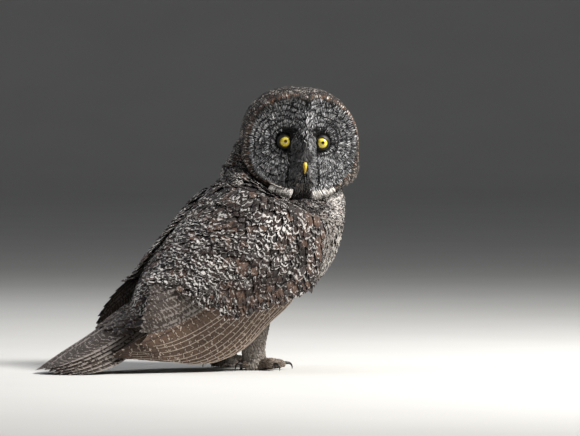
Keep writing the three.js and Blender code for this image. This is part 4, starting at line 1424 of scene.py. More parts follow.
@dataclass
class BodyPlumage:
    """Neck, breast, belly and back."""

    neck_spacing: float = 3.4
    breast_spacing: float = 5.2
    back_spacing: float = 7.6

    def neck(self) -> Coat:
        """A thick collar of soft, mottled feathers."""
        finish = FeatherFinish(
            "neck_feathers", Pattern.WAVE, (206, 200, 194), (26, 22, 22), period=5.5, cover=0.5, fine=1.0, bow=0.1
        )
        coat = Coat("neck_plumage", finish, Slot.GREY)
        form = NeckForm()
        a, b = scatter(form, (0.3, 6.6), (0, TURN), self.neck_spacing, 41)
        spots = form.base(a, b)
        out, left, up, behind = on_head(spots)
        inside = (out / np.where(out > 0, 44, 70)) ** 2 + (left / 74) ** 2 + (up / 64) ** 2
        keep = (inside > 1.0) & ((behind > 1.0) | (out < 0))
        a, b, spots, out, left, up, behind = (x[keep] for x in (a, b, spots, out, left, up, behind))
        rng = default_rng(42)
        luck = rng.random(len(a))
        heading = -unit(form.slopes(a, b)[0]) + 0.2 * unit(spots - NECK_CENTRE) * [1, 1, 0]
        front = smooth(out, -20, 20)
        throat = bell(left, -3, 24) * front * smooth(up, -86, -72)
        ruff = front * smooth(left, 18, 45)
        clump = noise(spots / 10, 8)
        weights = [1.4 + throat * 9, 0.7, 0.15 + 0.3 * clump + 1.2 * ruff, 0.25]
        colour = shade(
            pick(weights, [(36, 31, 31), (66, 58, 56), (150, 145, 142), (88, 64, 53)], luck),
            0.75 + 0.5 * rng.random(len(a))
        )
        marks = stacked((0.36 + 0.6 * clump + 0.5 * ruff) * (1 - throat), 0.4, 0.15 + 0.5 * clump + 0.3 * ruff)
        tuck = 1 - smooth(behind, 1.0, 1.25)
        over = 1 - smooth(a, 1.8, 3.2)
        vanes = Vanes(
            form, a, b, heading, 13 + 4 * luck + 3 * over, 5.2 + 1.6 * luck, root=-4 - tuck,
            tip=1.8 - 0.8 * tuck * front + 0.6 * over, rows=4, columns=2, camber=0.8, tilt=1.0, seed=43, ragged=0.08,
        )
        coat.add(vanes, colour, marks, spread_on(a, b, (0.2, 6.7), (0, TURN)))
        return coat

    def breast(self) -> Coat:
        """Breast and belly: long loose feathers, grey and white with brown streaks."""
        finish = FeatherFinish(
            "breast_feathers", Pattern.STREAK, (216, 212, 206), (56, 40, 33), cover=0.7, fine=0.7, shaft=0.5
        )
        coat = Coat("breast_plumage", finish, Slot.GREY)
        form = BodyForm()
        a, b = scatter(form, (0.84, 6.3), (0.3 * math.pi, 1.7 * math.pi), self.breast_spacing, 51)
        wide = lerp(0.68, 0.45, smooth(a, 1.2, 2.6)) * math.pi
        keep = np.abs(b - math.pi) < wide
        a, b = a[keep], b[keep]
        spots = form.base(a, b)
        rng = default_rng(52)
        luck = rng.random(len(a))
        clump = noise(spots / 13, 9)
        brown = smooth(np.abs(b - math.pi), 0.5, 1.1)
        weights = [0.5 - 0.4 * brown + 0.25 * clump, 0.6, 0.6 + 1.0 * brown - 0.3 * clump, 0.5 + 0.3 * brown]
        colours = [(112, 106, 101), (62, 55, 51), (64, 46, 37), (38, 30, 27)]
        colour = shade(pick(weights, colours, luck), 0.8 + 0.4 * rng.random(len(a)))
        marks = stacked(0.75 - 0.35 * brown, 0.8, 0.35 - 0.25 * brown + 0.3 * clump)
        vanes = Vanes(
            form, a, b, form.slopes(a, b)[0], 22 + 9 * luck, 8 + 3 * luck, root=-4.5, tip=2.4, rows=5, columns=4,
            camber=1.2, tilt=1.6, curl=0.01, seed=53, ragged=0.14, round=0.02,
        )
        coat.add(vanes, colour, marks, spread_on(a, b, (0.8, 6.4), (0.3 * math.pi, 1.7 * math.pi)))
        return coat

    def back(self) -> Coat:
        """The middle of the back and the rump."""
        coat = Coat("back_plumage", mantle_finish("back_feathers"), Slot.GREY)
        form = BodyForm()
        a, b = scatter(form, (0.8, 6.5), (-0.42 * math.pi, 0.42 * math.pi), self.back_spacing, 61)
        spots = form.base(a, b)
        luck = default_rng(62).random(len(a))
        colour, marks = mantle_marks(spots, luck)
        vanes = Vanes(
            form, a, b, form.slopes(a, b)[0], 23 + 5 * luck, 13 + 2 * luck, root=-4, tip=2.0, rows=5, columns=4,
            camber=1.0, tilt=0.8, seed=63, ragged=0.05,
        )
        coat.add(vanes, colour, marks, spread_on(a, b, (0.7, 6.6), (-0.42 * math.pi, 0.42 * math.pi)))
        return coat

    def build(self) -> list[Coat]:
        """All three pieces."""
        return [self.neck(), self.breast(), self.back()]


def mantle_finish(name: str) -> FeatherFinish:
    """The finish of mantle, scapulars and back."""
    return FeatherFinish(name, Pattern.WAVE, (230, 226, 222), (30, 24, 22), period=7.4, cover=0.5, fine=0.72, bow=0.11)


def mantle_marks(spots: Array, luck: Array) -> Arrays:
    """Ground and marks of the mantle's feathers by where they are, the ground darkened towards each feather's root as
    painted shade.

    Args:
        spots: their roots.
        luck: a draw for each.

    Returns:
        A colour for each row of each feather, and the pale, dark and edge shares of each row.
    """
    rows = 6
    u = np.linspace(0, 1, rows)[None, :]
    x, z = spots[:, 0], spots[:, 2]
    clump = noise(spots / 15, 14)
    low = (1 - smooth(z + 6 * clump, 112, 150)) * smooth(x, -115, -65)
    rump = 1 - smooth(x, -130, -85)
    bright = 0.7 * bell(x, -26, 26) * bell(z, 200, 22) + 0.5 * bell(x, -100, 22) * bell(z, 150, 16)
    dusky = bell(z, 138, 14) * smooth(x, -90, -60)
    collar = smooth(z + 4 * clump, 226, 236)
    fore = smooth(x, 10, 40)
    broad = noise(spots / 38, 15)
    weights = [
        1.0 - 0.7 * low + 2 * collar, 0.8 - 0.2 * low + 0.8 * fore,
        0.05 + 1.6 * low + 0.9 * fore + 0.3 * (1 - broad) * (1 - low), 0.15 + 0.8 * rump + 0.5 * low,
    ]
    colour = pick(weights, [(42, 35, 33), (62, 48, 42), (100, 77, 64), (80, 72, 70)], luck)
    colour = shade(colour, 0.8 + 0.4 * np.modf(luck * 17)[0])
    tipward = smooth(u, 0.3, 0.65)
    share = (
        0.4 + 0.5 * clump + 0.3 * broad - 0.3 * fore + bright - 0.35 * dusky + 0.1 * rump - 0.15 * collar - 0.32 * low
    )
    share = np.clip(share, 0, 1)[:, None]
    # painted shade: each feather's ground is darkened towards its root, where the feathers over it shade it
    colour = colour[:, None, :] * (0.45 + 0.65 * u)[..., None]
    pale = tipward * share
    return colour, stacked(pale, 0.7 * (1 - 0.3 * tipward), pale * (0.7 + 0.3 * low[:, None]))


@dataclass
class WingPlumage:
    """One wing: mantle and small coverts, primaries and secondaries, and tertials."""

    side: Side
    spacing: float = 8.2
    edge_count: int = 30
    primaries: int = 10
    secondaries: int = 13
    tertials: int = 6
    deck: float = 0.7
    PRIMARY = ([(2.3, 0.86), (3.0, 0.74)], [(6.5, 0.92), (7.5, 0.86), (8.0, 0.74), (7.9, 0.62)])
    SECONDARY = ([(2.6, 0.8), (3.5, 0.5)], [(5.5, 0.93), (6.5, 0.92), (7.15, 0.82), (7.3, 0.6)])
    TERTIAL = ([(3.4, 0.44), (3.2, 0.3)], [(7.2, 0.46), (6.9, 0.34), (6.4, 0.22)])

    @property
    def name(self) -> str:
        """The side, right or left."""
        return self.side.name.lower()

    def mantle(self) -> Coat:
        """Scapulars and small coverts, with rows of larger ones along the free edge."""
        coat = Coat(f"mantle_{self.name}", mantle_finish(f"mantle_feathers_{self.name}"), Slot.BROWN)
        flap, wing = FlapForm(self.side), WingForm(self.side)
        seed = 71 + self.side.value
        a, b = scatter(flap, (0, 1), (0, 0.95), self.spacing, seed)
        edge = np.linspace(0.04, 0.8, self.edge_count)
        rng = default_rng(seed)
        a = np.concatenate([a, edge, edge + 0.4 / self.edge_count])
        b = np.concatenate([b, np.full(self.edge_count, 0.9), np.full(self.edge_count, 0.82)])
        luck = rng.random(len(a))
        spots = flap.base(a, b)
        (ra, rb), (ea, eb) = between(FlapForm.ROOT, a), between(FlapForm.EDGE, a)
        slope_s, slope_q = wing.slopes(lerp(ra, ea, b), lerp(rb, eb, b))
        heading = unit(slope_s) + unit(slope_q) * (0.1 + 0.45 * smooth(b, 0.5, 1) * (1 - smooth(a, 0.5, 0.85)))[:, None]
        colour, marks = mantle_marks(spots, luck)
        size = lerp(20, 25, smooth(b, 0.1, 0.6)) * (1 - 0.3 * smooth(b, 0.7, 0.9)) * (0.92 + 0.16 * luck)
        vanes = Vanes(
            flap, a, b, heading, size, np.clip(size * 0.62, 9, 15), root=-4, tip=1.8 + 2.6 * smooth(b, 0.78, 0.86),
            rows=5, columns=4, camber=1.1, tilt=0.7, seed=seed, ragged=0.06,
        )
        coat.add(vanes, colour, marks, spread_on(a, b, (0, 1.02), (0, 1)), (0.006, 0.006))
        return coat

    def lay(
        self, coat: Coat, kind: tuple, quills: dict, below: float, colour: Colour, shares: tuple, first: int = 0
    ) -> None:
        """Adds one kind of flight feather, outermost first, each on its own strip of the bake map.

        Args:
            coat: the piece that takes them.
            kind: root and tip lines.
            quills: width of each, bow, bluntness and seed.
            below: height of the outermost.
            colour: their ground.
            shares: pale, dark and edge shares.
            first: number of the first strip.
        """
        count = len(quills["width"])
        f = np.linspace(0, 1, count)
        lift = below + self.deck * (np.arange(count) + 1)
        batch = Quills(WingForm(self.side), *between(kind[0], f), between(kind[1], f), lift=lift, **quills)
        ground = shade(tone(*colour), 0.8 + 0.4 * default_rng(batch.seed).random(count))
        unwrap = stacked(0.03 + 0.04 * (first + np.arange(count)), 0.5)
        coat.add(batch, ground, shares, unwrap, (0.034, 0.94))

    def flight(self) -> Coat:
        """Primaries and secondaries: warm brown with broken buff bars and pale edges."""
        finish = FeatherFinish(
            f"flight_feathers_{self.name}", Pattern.BAR, (214, 198, 182), (50, 37, 31), period=10.0, cover=0.34,
            fine=1.2, shaft=0.6, roughness=0.6,
        )
        coat = Coat(f"flight_feathers_{self.name}", finish, Slot.BROWN)
        depth = (self.primaries + self.secondaries + self.tertials) * self.deck
        quills = {"width": np.linspace(24, 32, self.primaries), "bow": 0.03, "blunt": 0.35, "seed": 81}
        self.lay(coat, self.PRIMARY, quills, -depth, (88, 68, 56), (0.5, 0.6, 0.6))
        quills = {"width": np.full(self.secondaries, 34.0), "bow": 0.04, "blunt": 0.6, "seed": 82}
        above = -depth + self.primaries * self.deck
        self.lay(coat, self.SECONDARY, quills, above, (104, 83, 69), (0.7, 0.6, 0.8), self.primaries)
        return coat

    def tertial(self) -> Coat:
        """The inmost long feathers, finely waved in grey and brown."""
        finish = FeatherFinish(
            f"tertial_feathers_{self.name}", Pattern.WAVE, (176, 168, 162), (40, 31, 28), period=5.0, cover=0.25,
            fine=0.9, bow=0.012, shaft=0.6, roughness=0.65,
        )
        coat = Coat(f"tertials_{self.name}", finish, Slot.BROWN)
        quills = {"width": np.full(self.tertials, 40.0), "bow": 0.02, "blunt": 0.6, "seed": 83}
        self.lay(coat, self.TERTIAL, quills, -self.tertials * self.deck, (80, 69, 63), (0.35, 0.5, 0.4))
        return coat

    def build(self) -> list[Coat]:
        """All three pieces."""
        return [self.mantle(), self.flight(), self.tertial()]


@dataclass
class TailPlumage:
    """The tail's feathers, the middle pair on top."""

    pairs: int = 6
    width: float = 44.0
    deck: float = 0.95

    def build(self) -> list[Coat]:
        """The fan and the coverts over its root."""
        finish = FeatherFinish(
            "tail_feathers", Pattern.WAVE, (166, 156, 148), (46, 34, 29), period=7.5, cover=0.15, fine=0.8, bow=0.03,
            shaft=0.7, roughness=0.6,
        )
        coat = Coat("tail_feathers", finish, Slot.BROWN)
        form = TailForm()
        count = 2 * self.pairs
        rank = np.repeat(np.arange(self.pairs), 2)[::-1]
        side = np.tile([1, -1], self.pairs)
        f = rank / (self.pairs - 1)
        lift = -np.arange(count, 0, -1) * self.deck
        tips = (lerp(0.985, 0.87, f * f), side * lerp(8, 50, f))
        quills = Quills(
            form, np.full(count, 0.08), side * lerp(4, 14, f), tips, lerp(self.width, self.width * 0.75, f), lift,
            bow=0.0, rows=20, seed=91,
        )
        ground = shade(tone(58, 46, 39), 0.8 + 0.4 * default_rng(92).random(count))
        unwrap = stacked(0.04 + 0.077 * (np.arange(count) + 0.5), 0.42)
        coat.add(quills, ground, (0.42, 0.6, 0.6), unwrap, (0.07, 0.8))
        a, b = scatter(form, (0.0, 0.5), (-24, 24), 9, 93)
        luck = default_rng(94).random(len(a))
        colour, marks = mantle_marks(form.base(a, b), luck)
        vanes = Vanes(
            form, a, b, form.slopes(a, b)[0], 30 + 8 * luck, 15 + 3 * luck, root=-1, tip=2.5, rows=5, columns=4,
            camber=1.0, tilt=0.6, seed=95,
        )
        coat.add(vanes, colour, marks, spread_on(a, b, (0, 0.5), (-24, 24), (0.04, 0.86), (0.9, 0.12)))
        return [coat]


@dataclass
class LegPlumage:
    """Short dense feathers on both legs and toes."""

    spacing: float = 3.0
    toe_spacing: float = 1.9

    def build(self) -> list[Coat]:
        """One piece for each side."""
        coats = []
        for side in Side:
            finish = FeatherFinish(
                f"leg_feathers_{side.name.lower()}", Pattern.STREAK, (196, 188, 178), (86, 70, 60), cover=0.6
            )
            coat = Coat(f"leg_plumage_{side.name.lower()}", finish, Slot.PALE)
            form = LegForm(side)
            a, b = scatter(form, (-0.14, 1.0), (0, TURN), self.spacing, 101)
            luck = default_rng(102).random(len(a))
            colour = pick([1, 0.7, 0.3], [(150, 144, 138), (118, 108, 100), (176, 168, 158)], luck)
            vanes = Vanes(
                form, a, b, -form.slopes(a, b)[0], 8 + 3 * luck, 3.4 + luck, root=-2, tip=1.0, camber=0.5, tilt=0.6,
                seed=103, ragged=0.08,
            )
            coat.add(vanes, colour, (0.6, 0.35, 0), spread_on(a, b, (-0.15, 1), (0, TURN), (0.02, 0.42), (0.96, 0.56)))
            for k, toe in enumerate(TOES):
                toe_form = ToeForm(side, toe)
                a, b = scatter(toe_form, (0.02, 0.98), (-0.35, math.pi + 0.35), self.toe_spacing, 110 + k)
                luck = default_rng(120 + k).random(len(a))
                colour = pick([1, 0.6, 0.5], [(132, 112, 94), (104, 86, 72), (160, 142, 122)], luck)
                vanes = Vanes(
                    toe_form, a, b, toe_form.slopes(a, b)[0], 5.0 + 2 * luck, 2.0 + 0.6 * luck, root=-1.2, tip=0.6,
                    camber=0.3, tilt=0.4, seed=130 + k, ragged=0.08,
                )
                corner = (0.02 + 0.24 * k, 0.02)
                coat.add(
                    vanes, colour, (0.5, 0.5, 0), spread_on(a, b, (0, 1), (-0.4, math.pi + 0.4), corner, (0.22, 0.36))
                )
            coats.append(coat)
        return coats


# Bare parts


def lofted(rings: list[Array], closed: bool = False) -> BMesh:
    """A closed body through rings of points.

    Args:
        rings: rings of equal count, in metres.
        closed: whether the last ring joins the first, as on a hollow ring, instead of both being filled.

    Returns:
        The bmesh, its faces turned outwards.
    """
    bm = bmesh.new()
    edges = []
    for ring in rings:
        made = bmesh.ops.create_circle(bm, cap_ends=False, segments=len(ring), radius=1.0)["verts"]
        for vert, spot in zip(made, ring):
            vert.co = spot
        edges.append(list({edge for vert in made for edge in vert.link_edges}))
    for one, two in zip(edges, [*edges[1:], edges[0]] if closed else edges[1:]):
        bmesh.ops.bridge_loops(bm, edges=one + two)
    if not closed:
        bmesh.ops.holes_fill(bm, edges=[edge for edge in bm.edges if edge.is_boundary], sides=0)
        bmesh.ops.triangulate(bm, faces=[face for face in bm.faces if len(face.verts) > 4])
    bmesh.ops.recalc_face_normals(bm, faces=bm.faces)
    return bm


def merged(parts: list[BMesh]) -> BMesh:
    """One shape of several.

    Args:
        parts: the shapes, which are freed.

    Returns:
        The new shape.
    """
    whole = bmesh.new()
    for part in parts:
        mesh = bpy.data.meshes.new("part")
        part.to_mesh(mesh)
        part.free()
        whole.from_mesh(mesh)
        bpy.data.meshes.remove(mesh)
    return whole


def dressed(bm: BMesh, name: str, material: Material, nodes: list[str]) -> Object:
    """Makes an object of a bmesh.

    Args:
        bm: the shape, in metres in the row frame.
        name: the piece's name.
        material: its finish.
        nodes: the solids it stands for.

    Returns:
        The piece.
    """
    mesh = bpy.data.meshes.new(name)
    bm.to_mesh(mesh)
    bm.free()
    mesh.shade_smooth()
    mesh.materials.append(material)
    piece = placed(name, mesh)
    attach(piece, BODY)
    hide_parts(*nodes)
    log.info("%s: %d triangles", name, sum(len(p.vertices) - 2 for p in mesh.polygons))
    return piece


def around(count: int) -> Array:
    """Angles round a ring."""
    return np.arange(count) / count * TURN


@dataclass
class Eyes:
    """Both eyeballs with their black-rimmed lids."""

    place: Place
    bulge: float = 1.3
    cornea: float = 7.6
    iris: float = 7.9
    pupil: float = 2.2
    lid: float = 1.0
    window: float = 44.0
    skirt: float = 66.0

    def eye_material(self) -> Material:
        """Yellow iris with fine rays, round black pupil and dark edge, under a wet coat."""
        dye = Dye("eyeball")
        left, up, _ = dye.parts(dye.attribute("place"))
        reach = (left * left + up * up).root()
        rays = dye.grain(dye.vector(left / (reach + 0.01) * 6.0, up / (reach + 0.01) * 6.0, reach * 0.25), 2.2, 3.0)
        yellow = dye.mix(rays.between(0.35, 0.7), tone(236, 206, 44), tone(252, 238, 110))
        yellow = dye.mix(reach.between(self.iris - 2.0, self.iris), yellow, tone(196, 150, 20))
        yellow = dye.mix(reach.between(self.pupil + 1.3, self.pupil), yellow, tone(226, 182, 40))
        colour = dye.mix(reach.between(self.pupil + 0.15, self.pupil - 0.15), yellow, tone(6, 5, 6))
        colour = dye.mix(reach.between(self.iris - 0.25, self.iris + 0.35), colour, tone(14, 10, 8))
        dye.put("Base Color", colour)
        dye.put("Roughness", 0.12)
        dye.put("Coat Weight", 1.0)
        dye.put("Coat Roughness", 0.02)
        return dye.material

    def lid_material(self) -> Material:
        """Black, finely wrinkled skin."""
        dye = Dye("lid_skin")
        place = dye.node("ShaderNodeTexCoord", "Object")
        grain = dye.grain(place, 900.0, 3.0)
        dye.put("Base Color", dye.mix(grain, tone(10, 9, 9), tone(34, 30, 29)))
        dye.put("Roughness", 0.45 + 0.2 * grain)
        dye.bump(grain, 0.4, 0.0002)
        return dye.material

    def build(self) -> list[Object]:
        """Both eyes and both lids."""
        made = []
        ball, skin = self.eye_material(), self.lid_material()
        axes = np.stack([HEAD_AXES[1], HEAD_AXES[2], HEAD_AXES[0]])
        for side in Side:
            name = side.name.lower()
            centre = in_head(EYE_OUT, side.value * EYE_APART / 2, EYE_UP)
            bm = bmesh.new()
            bmesh.ops.create_uvsphere(bm, u_segments=40, v_segments=40, radius=EYE_RADIUS)
            spots = np.array([vert.co for vert in bm.verts])
            flat = np.hypot(spots[:, 0], spots[:, 1])
            front = spots[:, 2] > 0
            rise = np.where(front, self.bulge * np.maximum(0, 1 - (flat / self.cornea) ** 2), 0)
            moved = self.place(centre + (spots + stacked(0, 0, rise)) @ axes)
            for vert, spot in zip(bm.verts, moved):
                vert.co = spot
            bmesh.ops.recalc_face_normals(bm, faces=bm.faces)
            eye = dressed(bm, f"eyeball_{name}", ball, [f"eye_{name}"])
            tag(eye.data, "place", spots)
            made.append(eye)
            made.append(dressed(self.lid_shell(centre, -side.value), f"lid_{name}", skin, [f"lids_{name}"]))
        return made

    def lid_shell(self, centre: Array, inward: int) -> BMesh:
        """A rounded shell over the eye, its window flattened above and drawn out a little towards the bill.

        Args:
            centre: the eye's middle.
            inward: sign of the way to the bill, 1 being the bird's left.

        Returns:
            The closed shell.
        """
        inner, outer = EYE_RADIUS + 0.55, EYE_RADIUS + 0.6 + self.lid
        turn = around(48)
        profile = [
            (inner, self.skirt), (inner, 58), (inner, 50), (inner + 0.1, self.window + 1),
            (inner + 0.3, self.window - 1.2), (outer - 0.4, self.window - 1.6), (outer - 0.05, self.window + 1.5),
            (outer, 50), (outer, 58), (outer - 0.2, self.skirt),
        ]
        rings = []
        for radius, polar_angle in profile:
            brow = 0.27 * bell(np.arctan2(np.sin(turn + 0.5 * inward), np.cos(turn + 0.5 * inward)), 0, 0.75)
            corner = 0.1 * bell(np.arctan2(np.sin(turn - 2.0 * inward), np.cos(turn - 2.0 * inward)), 0, 0.35)
            share = 1 - smooth(polar_angle, self.window + 4, self.skirt)
            angle = np.radians(polar_angle) * (1 - (brow - corner) * share)
            flat = np.sin(angle) * radius
            ring = facing(np.sin(turn) * flat, np.cos(turn) * flat)
            rings.append(self.place(centre + (np.cos(angle) * radius)[:, None] * HEAD_AXES[0] + ring))
        return lofted(rings, closed=True)


@dataclass
class Bill:
    """The hooked upper bill and the shorter lower one."""

    place: Place
    length: float = 23.0
    wide: float = 7.6
    deep: float = 14.0

    def material(self) -> Material:
        """Yellow horn, darker in cloudy patches, with fine growth lines."""
        dye = Dye("bill_horn")
        place = dye.node("ShaderNodeTexCoord", "Object")
        streak = dye.grain(dye.node("ShaderNodeMapping", "Vector", Vector=place, Scale=(900.0, 900.0, 120.0)), 1.0, 3.0)
        cloud = dye.grain(place, 220.0, 2.0)
        colour = dye.mix(streak, tone(196, 150, 30), tone(236, 206, 70))
        colour = dye.mix(cloud.between(0.45, 0.75) * 0.5, colour, tone(150, 96, 22))
        dye.put("Base Color", colour)
        dye.put("Roughness", 0.3 + 0.2 * cloud)
        dye.bump(streak, 0.25, 0.0002)
        return dye.material

    def half(self, upper: bool) -> BMesh:
        """One half of the bill.

        Args:
            upper: whether it is the upper one.

        Returns:
            Its closed shape.
        """
        count, segments = 22, 20
        turn = around(segments)
        rings = []
        for i in range(count):
            f = i / (count - 1)
            bend = math.radians(lerp(-4, 96, f**1.1) if upper else lerp(24, 62, f))
            length = self.length * (1 if upper else 0.66)
            out = 50 + length * math.sin(min(bend + 0.3, 1.5)) * 0.62 * (1 - 0.25 * f)
            up = -17 - length * f * (0.86 if upper else 0.6) - (0 if upper else 7.5)
            narrow = 1 - 0.93 * f**1.5
            wide = self.wide / 2 * narrow * (1 if upper else 0.8)
            deep = self.deep / 2 * narrow * (0.62 if upper else 0.34)
            front = np.cos(turn) * deep
            ring = in_head(
                out + math.cos(bend * 0.6) * front * 0.9, np.sin(turn) * wide, up + math.sin(bend * 0.6) * front
            )
            rings.append(self.place(ring))
        return lofted(rings)

    def build(self) -> list[Object]:
        """Both halves."""
        horn = self.material()
        return [
            dressed(self.half(True), "upper_bill", horn, ["bill_upper"]),
            dressed(self.half(False), "lower_bill", horn, ["bill_lower"]),
        ]


@dataclass
class Claws:
    """Curved black claws, one piece for each foot."""

    place: Place
    reach: float = 23.0
    thick: float = 3.2

    def material(self) -> Material:
        """Black horn with a soft gloss and fine lengthwise grain."""
        dye = Dye("claw_horn")
        place = dye.node("ShaderNodeTexCoord", "Object")
        grain = dye.grain(dye.node("ShaderNodeMapping", "Vector", Vector=place, Scale=(1.0, 1.0, 0.3)), 700.0, 3.0)
        dye.put("Base Color", dye.mix(grain, tone(12, 10, 9), tone(52, 44, 38)))
        dye.put("Roughness", 0.28 + 0.2 * grain)
        dye.bump(grain, 0.3, 0.0002)
        return dye.material

    def claw(self, side: Side, toe: str) -> list[Array]:
        """The rings of one claw."""
        turn, share = TOES[toe]
        way = np.array([math.cos(math.radians(turn)), side.value * math.sin(math.radians(turn)), 0.0])
        aside = np.array([-way[1], way[0], 0.0])
        foot = np.array([FOOT_X, side.value * FOOT_Y, 0.0])
        start = TOE_LENGTH * share * 0.92
        reach = self.reach * (0.8 + 0.2 * share)
        f = np.linspace(0, 1, 16)
        bend = np.radians(lerp(-25, 72, f))
        out = start + reach * 0.74 * np.sin(math.radians(97) * f)
        up = 7.2 + 3.2 * np.sin(np.pi * f) * np.cos(bend * 0.2) - 6.6 * f * f
        centre = foot + way * out[:, None] + np.array([0, 0, 1.0]) * up[:, None]
        tangent = unit(np.gradient(centre, axis=0))
        upward = unit(np.cross(tangent, aside)) * -1
        angle = around(12)
        rings = []
        for k in range(len(f)):
            thick = self.thick * (1 - 0.86 * f[k])
            ring = centre[k] + np.cos(angle)[:, None] * aside * thick * 0.9 + np.sin(angle)[:, None] * upward[k] * thick
            ring[:, 2] = np.maximum(ring[:, 2], 0.3)
            rings.append(self.place(ring))
        return rings

    def build(self) -> list[Object]:
        """Both feet's claws."""
        horn = self.material()
        made = []
        for side in Side:
            whole = merged([lofted(self.claw(side, toe)) for toe in TOES])
            name = side.name.lower()
            made.append(dressed(whole, f"claws_{name}", horn, [f"claw_{name}_{toe}" for toe in TOES]))
        return made


@dataclass
class Skin:
    """One closed skin under all the plumage, with its markings."""

    place: Place
    voxel: float = 2.6
    depth: float = 3.6
    face_depth: float = 1.6
    foot_depth: float = 1.4
    throat_depth: float = 11.0
    jaw_depth: float = 6.5
    flesh: tuple[str, ...] = ("torso", "neck", "head", "leg_right", "leg_left", "foot_right", "foot_left")

    def pad(self, side: Side) -> BMesh:
        """The fleshy part of a wing: a pad between the flap's face and the body."""
        form = FlapForm(side)
        columns, rows = 60, 26
        bm = bmesh.new()
        loops = []
        for lift in (-1.2, -8.0):
            verts = bmesh.ops.create_grid(bm, x_segments=columns, y_segments=rows, size=1.0)["verts"]
            grid = np.array([vert.co[:2] for vert in verts])
            a = lerp(0.02, 0.99, (grid[:, 0] + 1) / 2)
            b = lerp(0.02, 0.95, (grid[:, 1] + 1) / 2)
            for vert, spot in zip(verts, self.place(form.at(a, b, lift + 0 * a))):
                vert.co = spot
            loops += [edge for edge in {edge for vert in verts for edge in vert.link_edges} if edge.is_boundary]
        bmesh.ops.bridge_loops(bm, edges=loops)
        bmesh.ops.recalc_face_normals(bm, faces=bm.faces)
        return bm

    def flesh_mesh(self) -> Mesh:
        """The solids' flesh and both wing pads, remeshed as one closed surface."""
        parts = []
        for node in self.flesh:
            part = bmesh.new()
            part.from_mesh(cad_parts[node].data)
            bmesh.ops.remove_doubles(part, verts=part.verts, dist=1e-6)
            parts.append(part)
        whole = merged(parts + [self.pad(side) for side in Side])
        mesh = bpy.data.meshes.new("flesh")
        whole.to_mesh(mesh)
        whole.free()
        rough = placed("flesh", mesh)
        remesh = rough.modifiers.new("remesh", "REMESH")
        remesh.mode = "VOXEL"
        remesh.voxel_size = self.voxel * MM
        shown = rough.evaluated_get(bpy.context.evaluated_depsgraph_get())
        closed = bpy.data.meshes.new_from_object(shown)
        bpy.data.objects.remove(rough)
        closed.name = "skin"
        return closed

    def sunk(self, spots: Array, normals: Array) -> Array:
        """Points of the flesh, moved in as deep as the feathers over them are rooted.

        Args:
            spots: the points, in metres in the row frame.
            normals: their normals.

        Returns:
            The moved points.
        """
        out, left, up, reach = on_head((spots - self.place.offset) / MM)
        face = (out > face_out(left, up) - 6) & (reach < 1.02)
        jaw = (out > -30) & (reach > 0.9) & (reach < 1.4) & (up < -20) & ~face
        feet = spots[:, 2] < 0.022
        throat = jaw & (out > -10) & (reach < 1.3) & (up < -32)
        depths = [self.face_depth, self.foot_depth, self.throat_depth, self.jaw_depth]
        depth = np.select([face, feet, throat, jaw], depths, self.depth)
        spots = spots - normals * (depth * MM)[:, None]
        gap = 3.0 * HEAD_AXES[0]
        return self.place(drawn_back((spots - self.place.offset) / MM + gap) - gap)

    def build(self, roots: list[Arrays]) -> Object:
        """Makes the skin and paints it as the feathers above.

        Args:
            roots: places and ground colours of all the feathers.

        Returns:
            The skin.
        """
        mesh = self.flesh_mesh()
        spots, normals = np.empty((2, len(mesh.vertices) * 3), np.float32)
        mesh.vertices.foreach_get("co", spots)
        mesh.vertex_normals.foreach_get("vector", normals)
        spots = self.sunk(spots.reshape(-1, 3).astype(float), normals.reshape(-1, 3))
        mesh.vertices.foreach_set("co", spots.astype(np.float32).ravel())
        bm = bmesh.new()
        bm.from_mesh(mesh)
        for _ in range(2):
            bmesh.ops.smooth_vert(bm, verts=bm.verts, factor=0.5, use_axis_x=True, use_axis_y=True, use_axis_z=True)
        bm.to_mesh(mesh)
        bm.free()
        mesh.shade_smooth()
        self.paint(mesh, roots)
        mesh.materials.append(self.material())
        piece = placed("skin", mesh)
        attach(piece, BODY)
        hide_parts(*self.flesh, "wing_right", "wing_left", "tail")
        log.info("skin: %d faces", len(mesh.polygons))
        return piece

    def paint(self, mesh: Mesh, roots: list[Arrays]) -> None:
        """Gives each point of the skin the colour of the nearest feather, darker as it is in shade."""
        points = self.place(np.concatenate([spots for spots, _ in roots]))
        colours = np.concatenate([ground for _, ground in roots])
        tree = tree_of(points)
        nearest = [tree.find(vert.co)[1] for vert in mesh.vertices]
        tag(mesh, "ground", np.concatenate([colours[nearest] * 0.5, np.ones((len(nearest), 1))], -1))

    def material(self) -> Material:
        """Down seen between the feathers."""
        dye = Dye("down")
        place = dye.node("ShaderNodeTexCoord", "Object")
        fluff = dye.grain(place, 500.0, 3.0)
        ground = dye.attribute("ground", "Color")
        dye.put("Base Color", dye.mix(fluff.between(0.3, 0.8) * 0.6, ground, tone(40, 34, 31)))
        dye.put("Roughness", 0.8 + 0.15 * fluff)
        dye.bump(fluff, 0.5, 0.0006)
        return dye.material


def way_to(azimuth: float, elevation: float) -> Vector:
    """The way from the bird to a place round it, given in degrees."""
    a, e = math.radians(azimuth), math.radians(elevation)
    return Vector((math.sin(a) * math.cos(e), -math.cos(a) * math.cos(e), math.sin(e)))


def aimed(name: str, data: ID, target: Vector, away: Vector) -> Object:
    """A camera or lamp that looks at a target.

    Args:
        name: its name.
        data: the camera or lamp.
        target: what it looks at.
        away: from the target to it.

    Returns:
        The object.
    """
    made = placed(name, data)
    made.location = target + away
    made.rotation_euler = (-away).to_track_quat("-Z", "Y").to_euler()
    return made


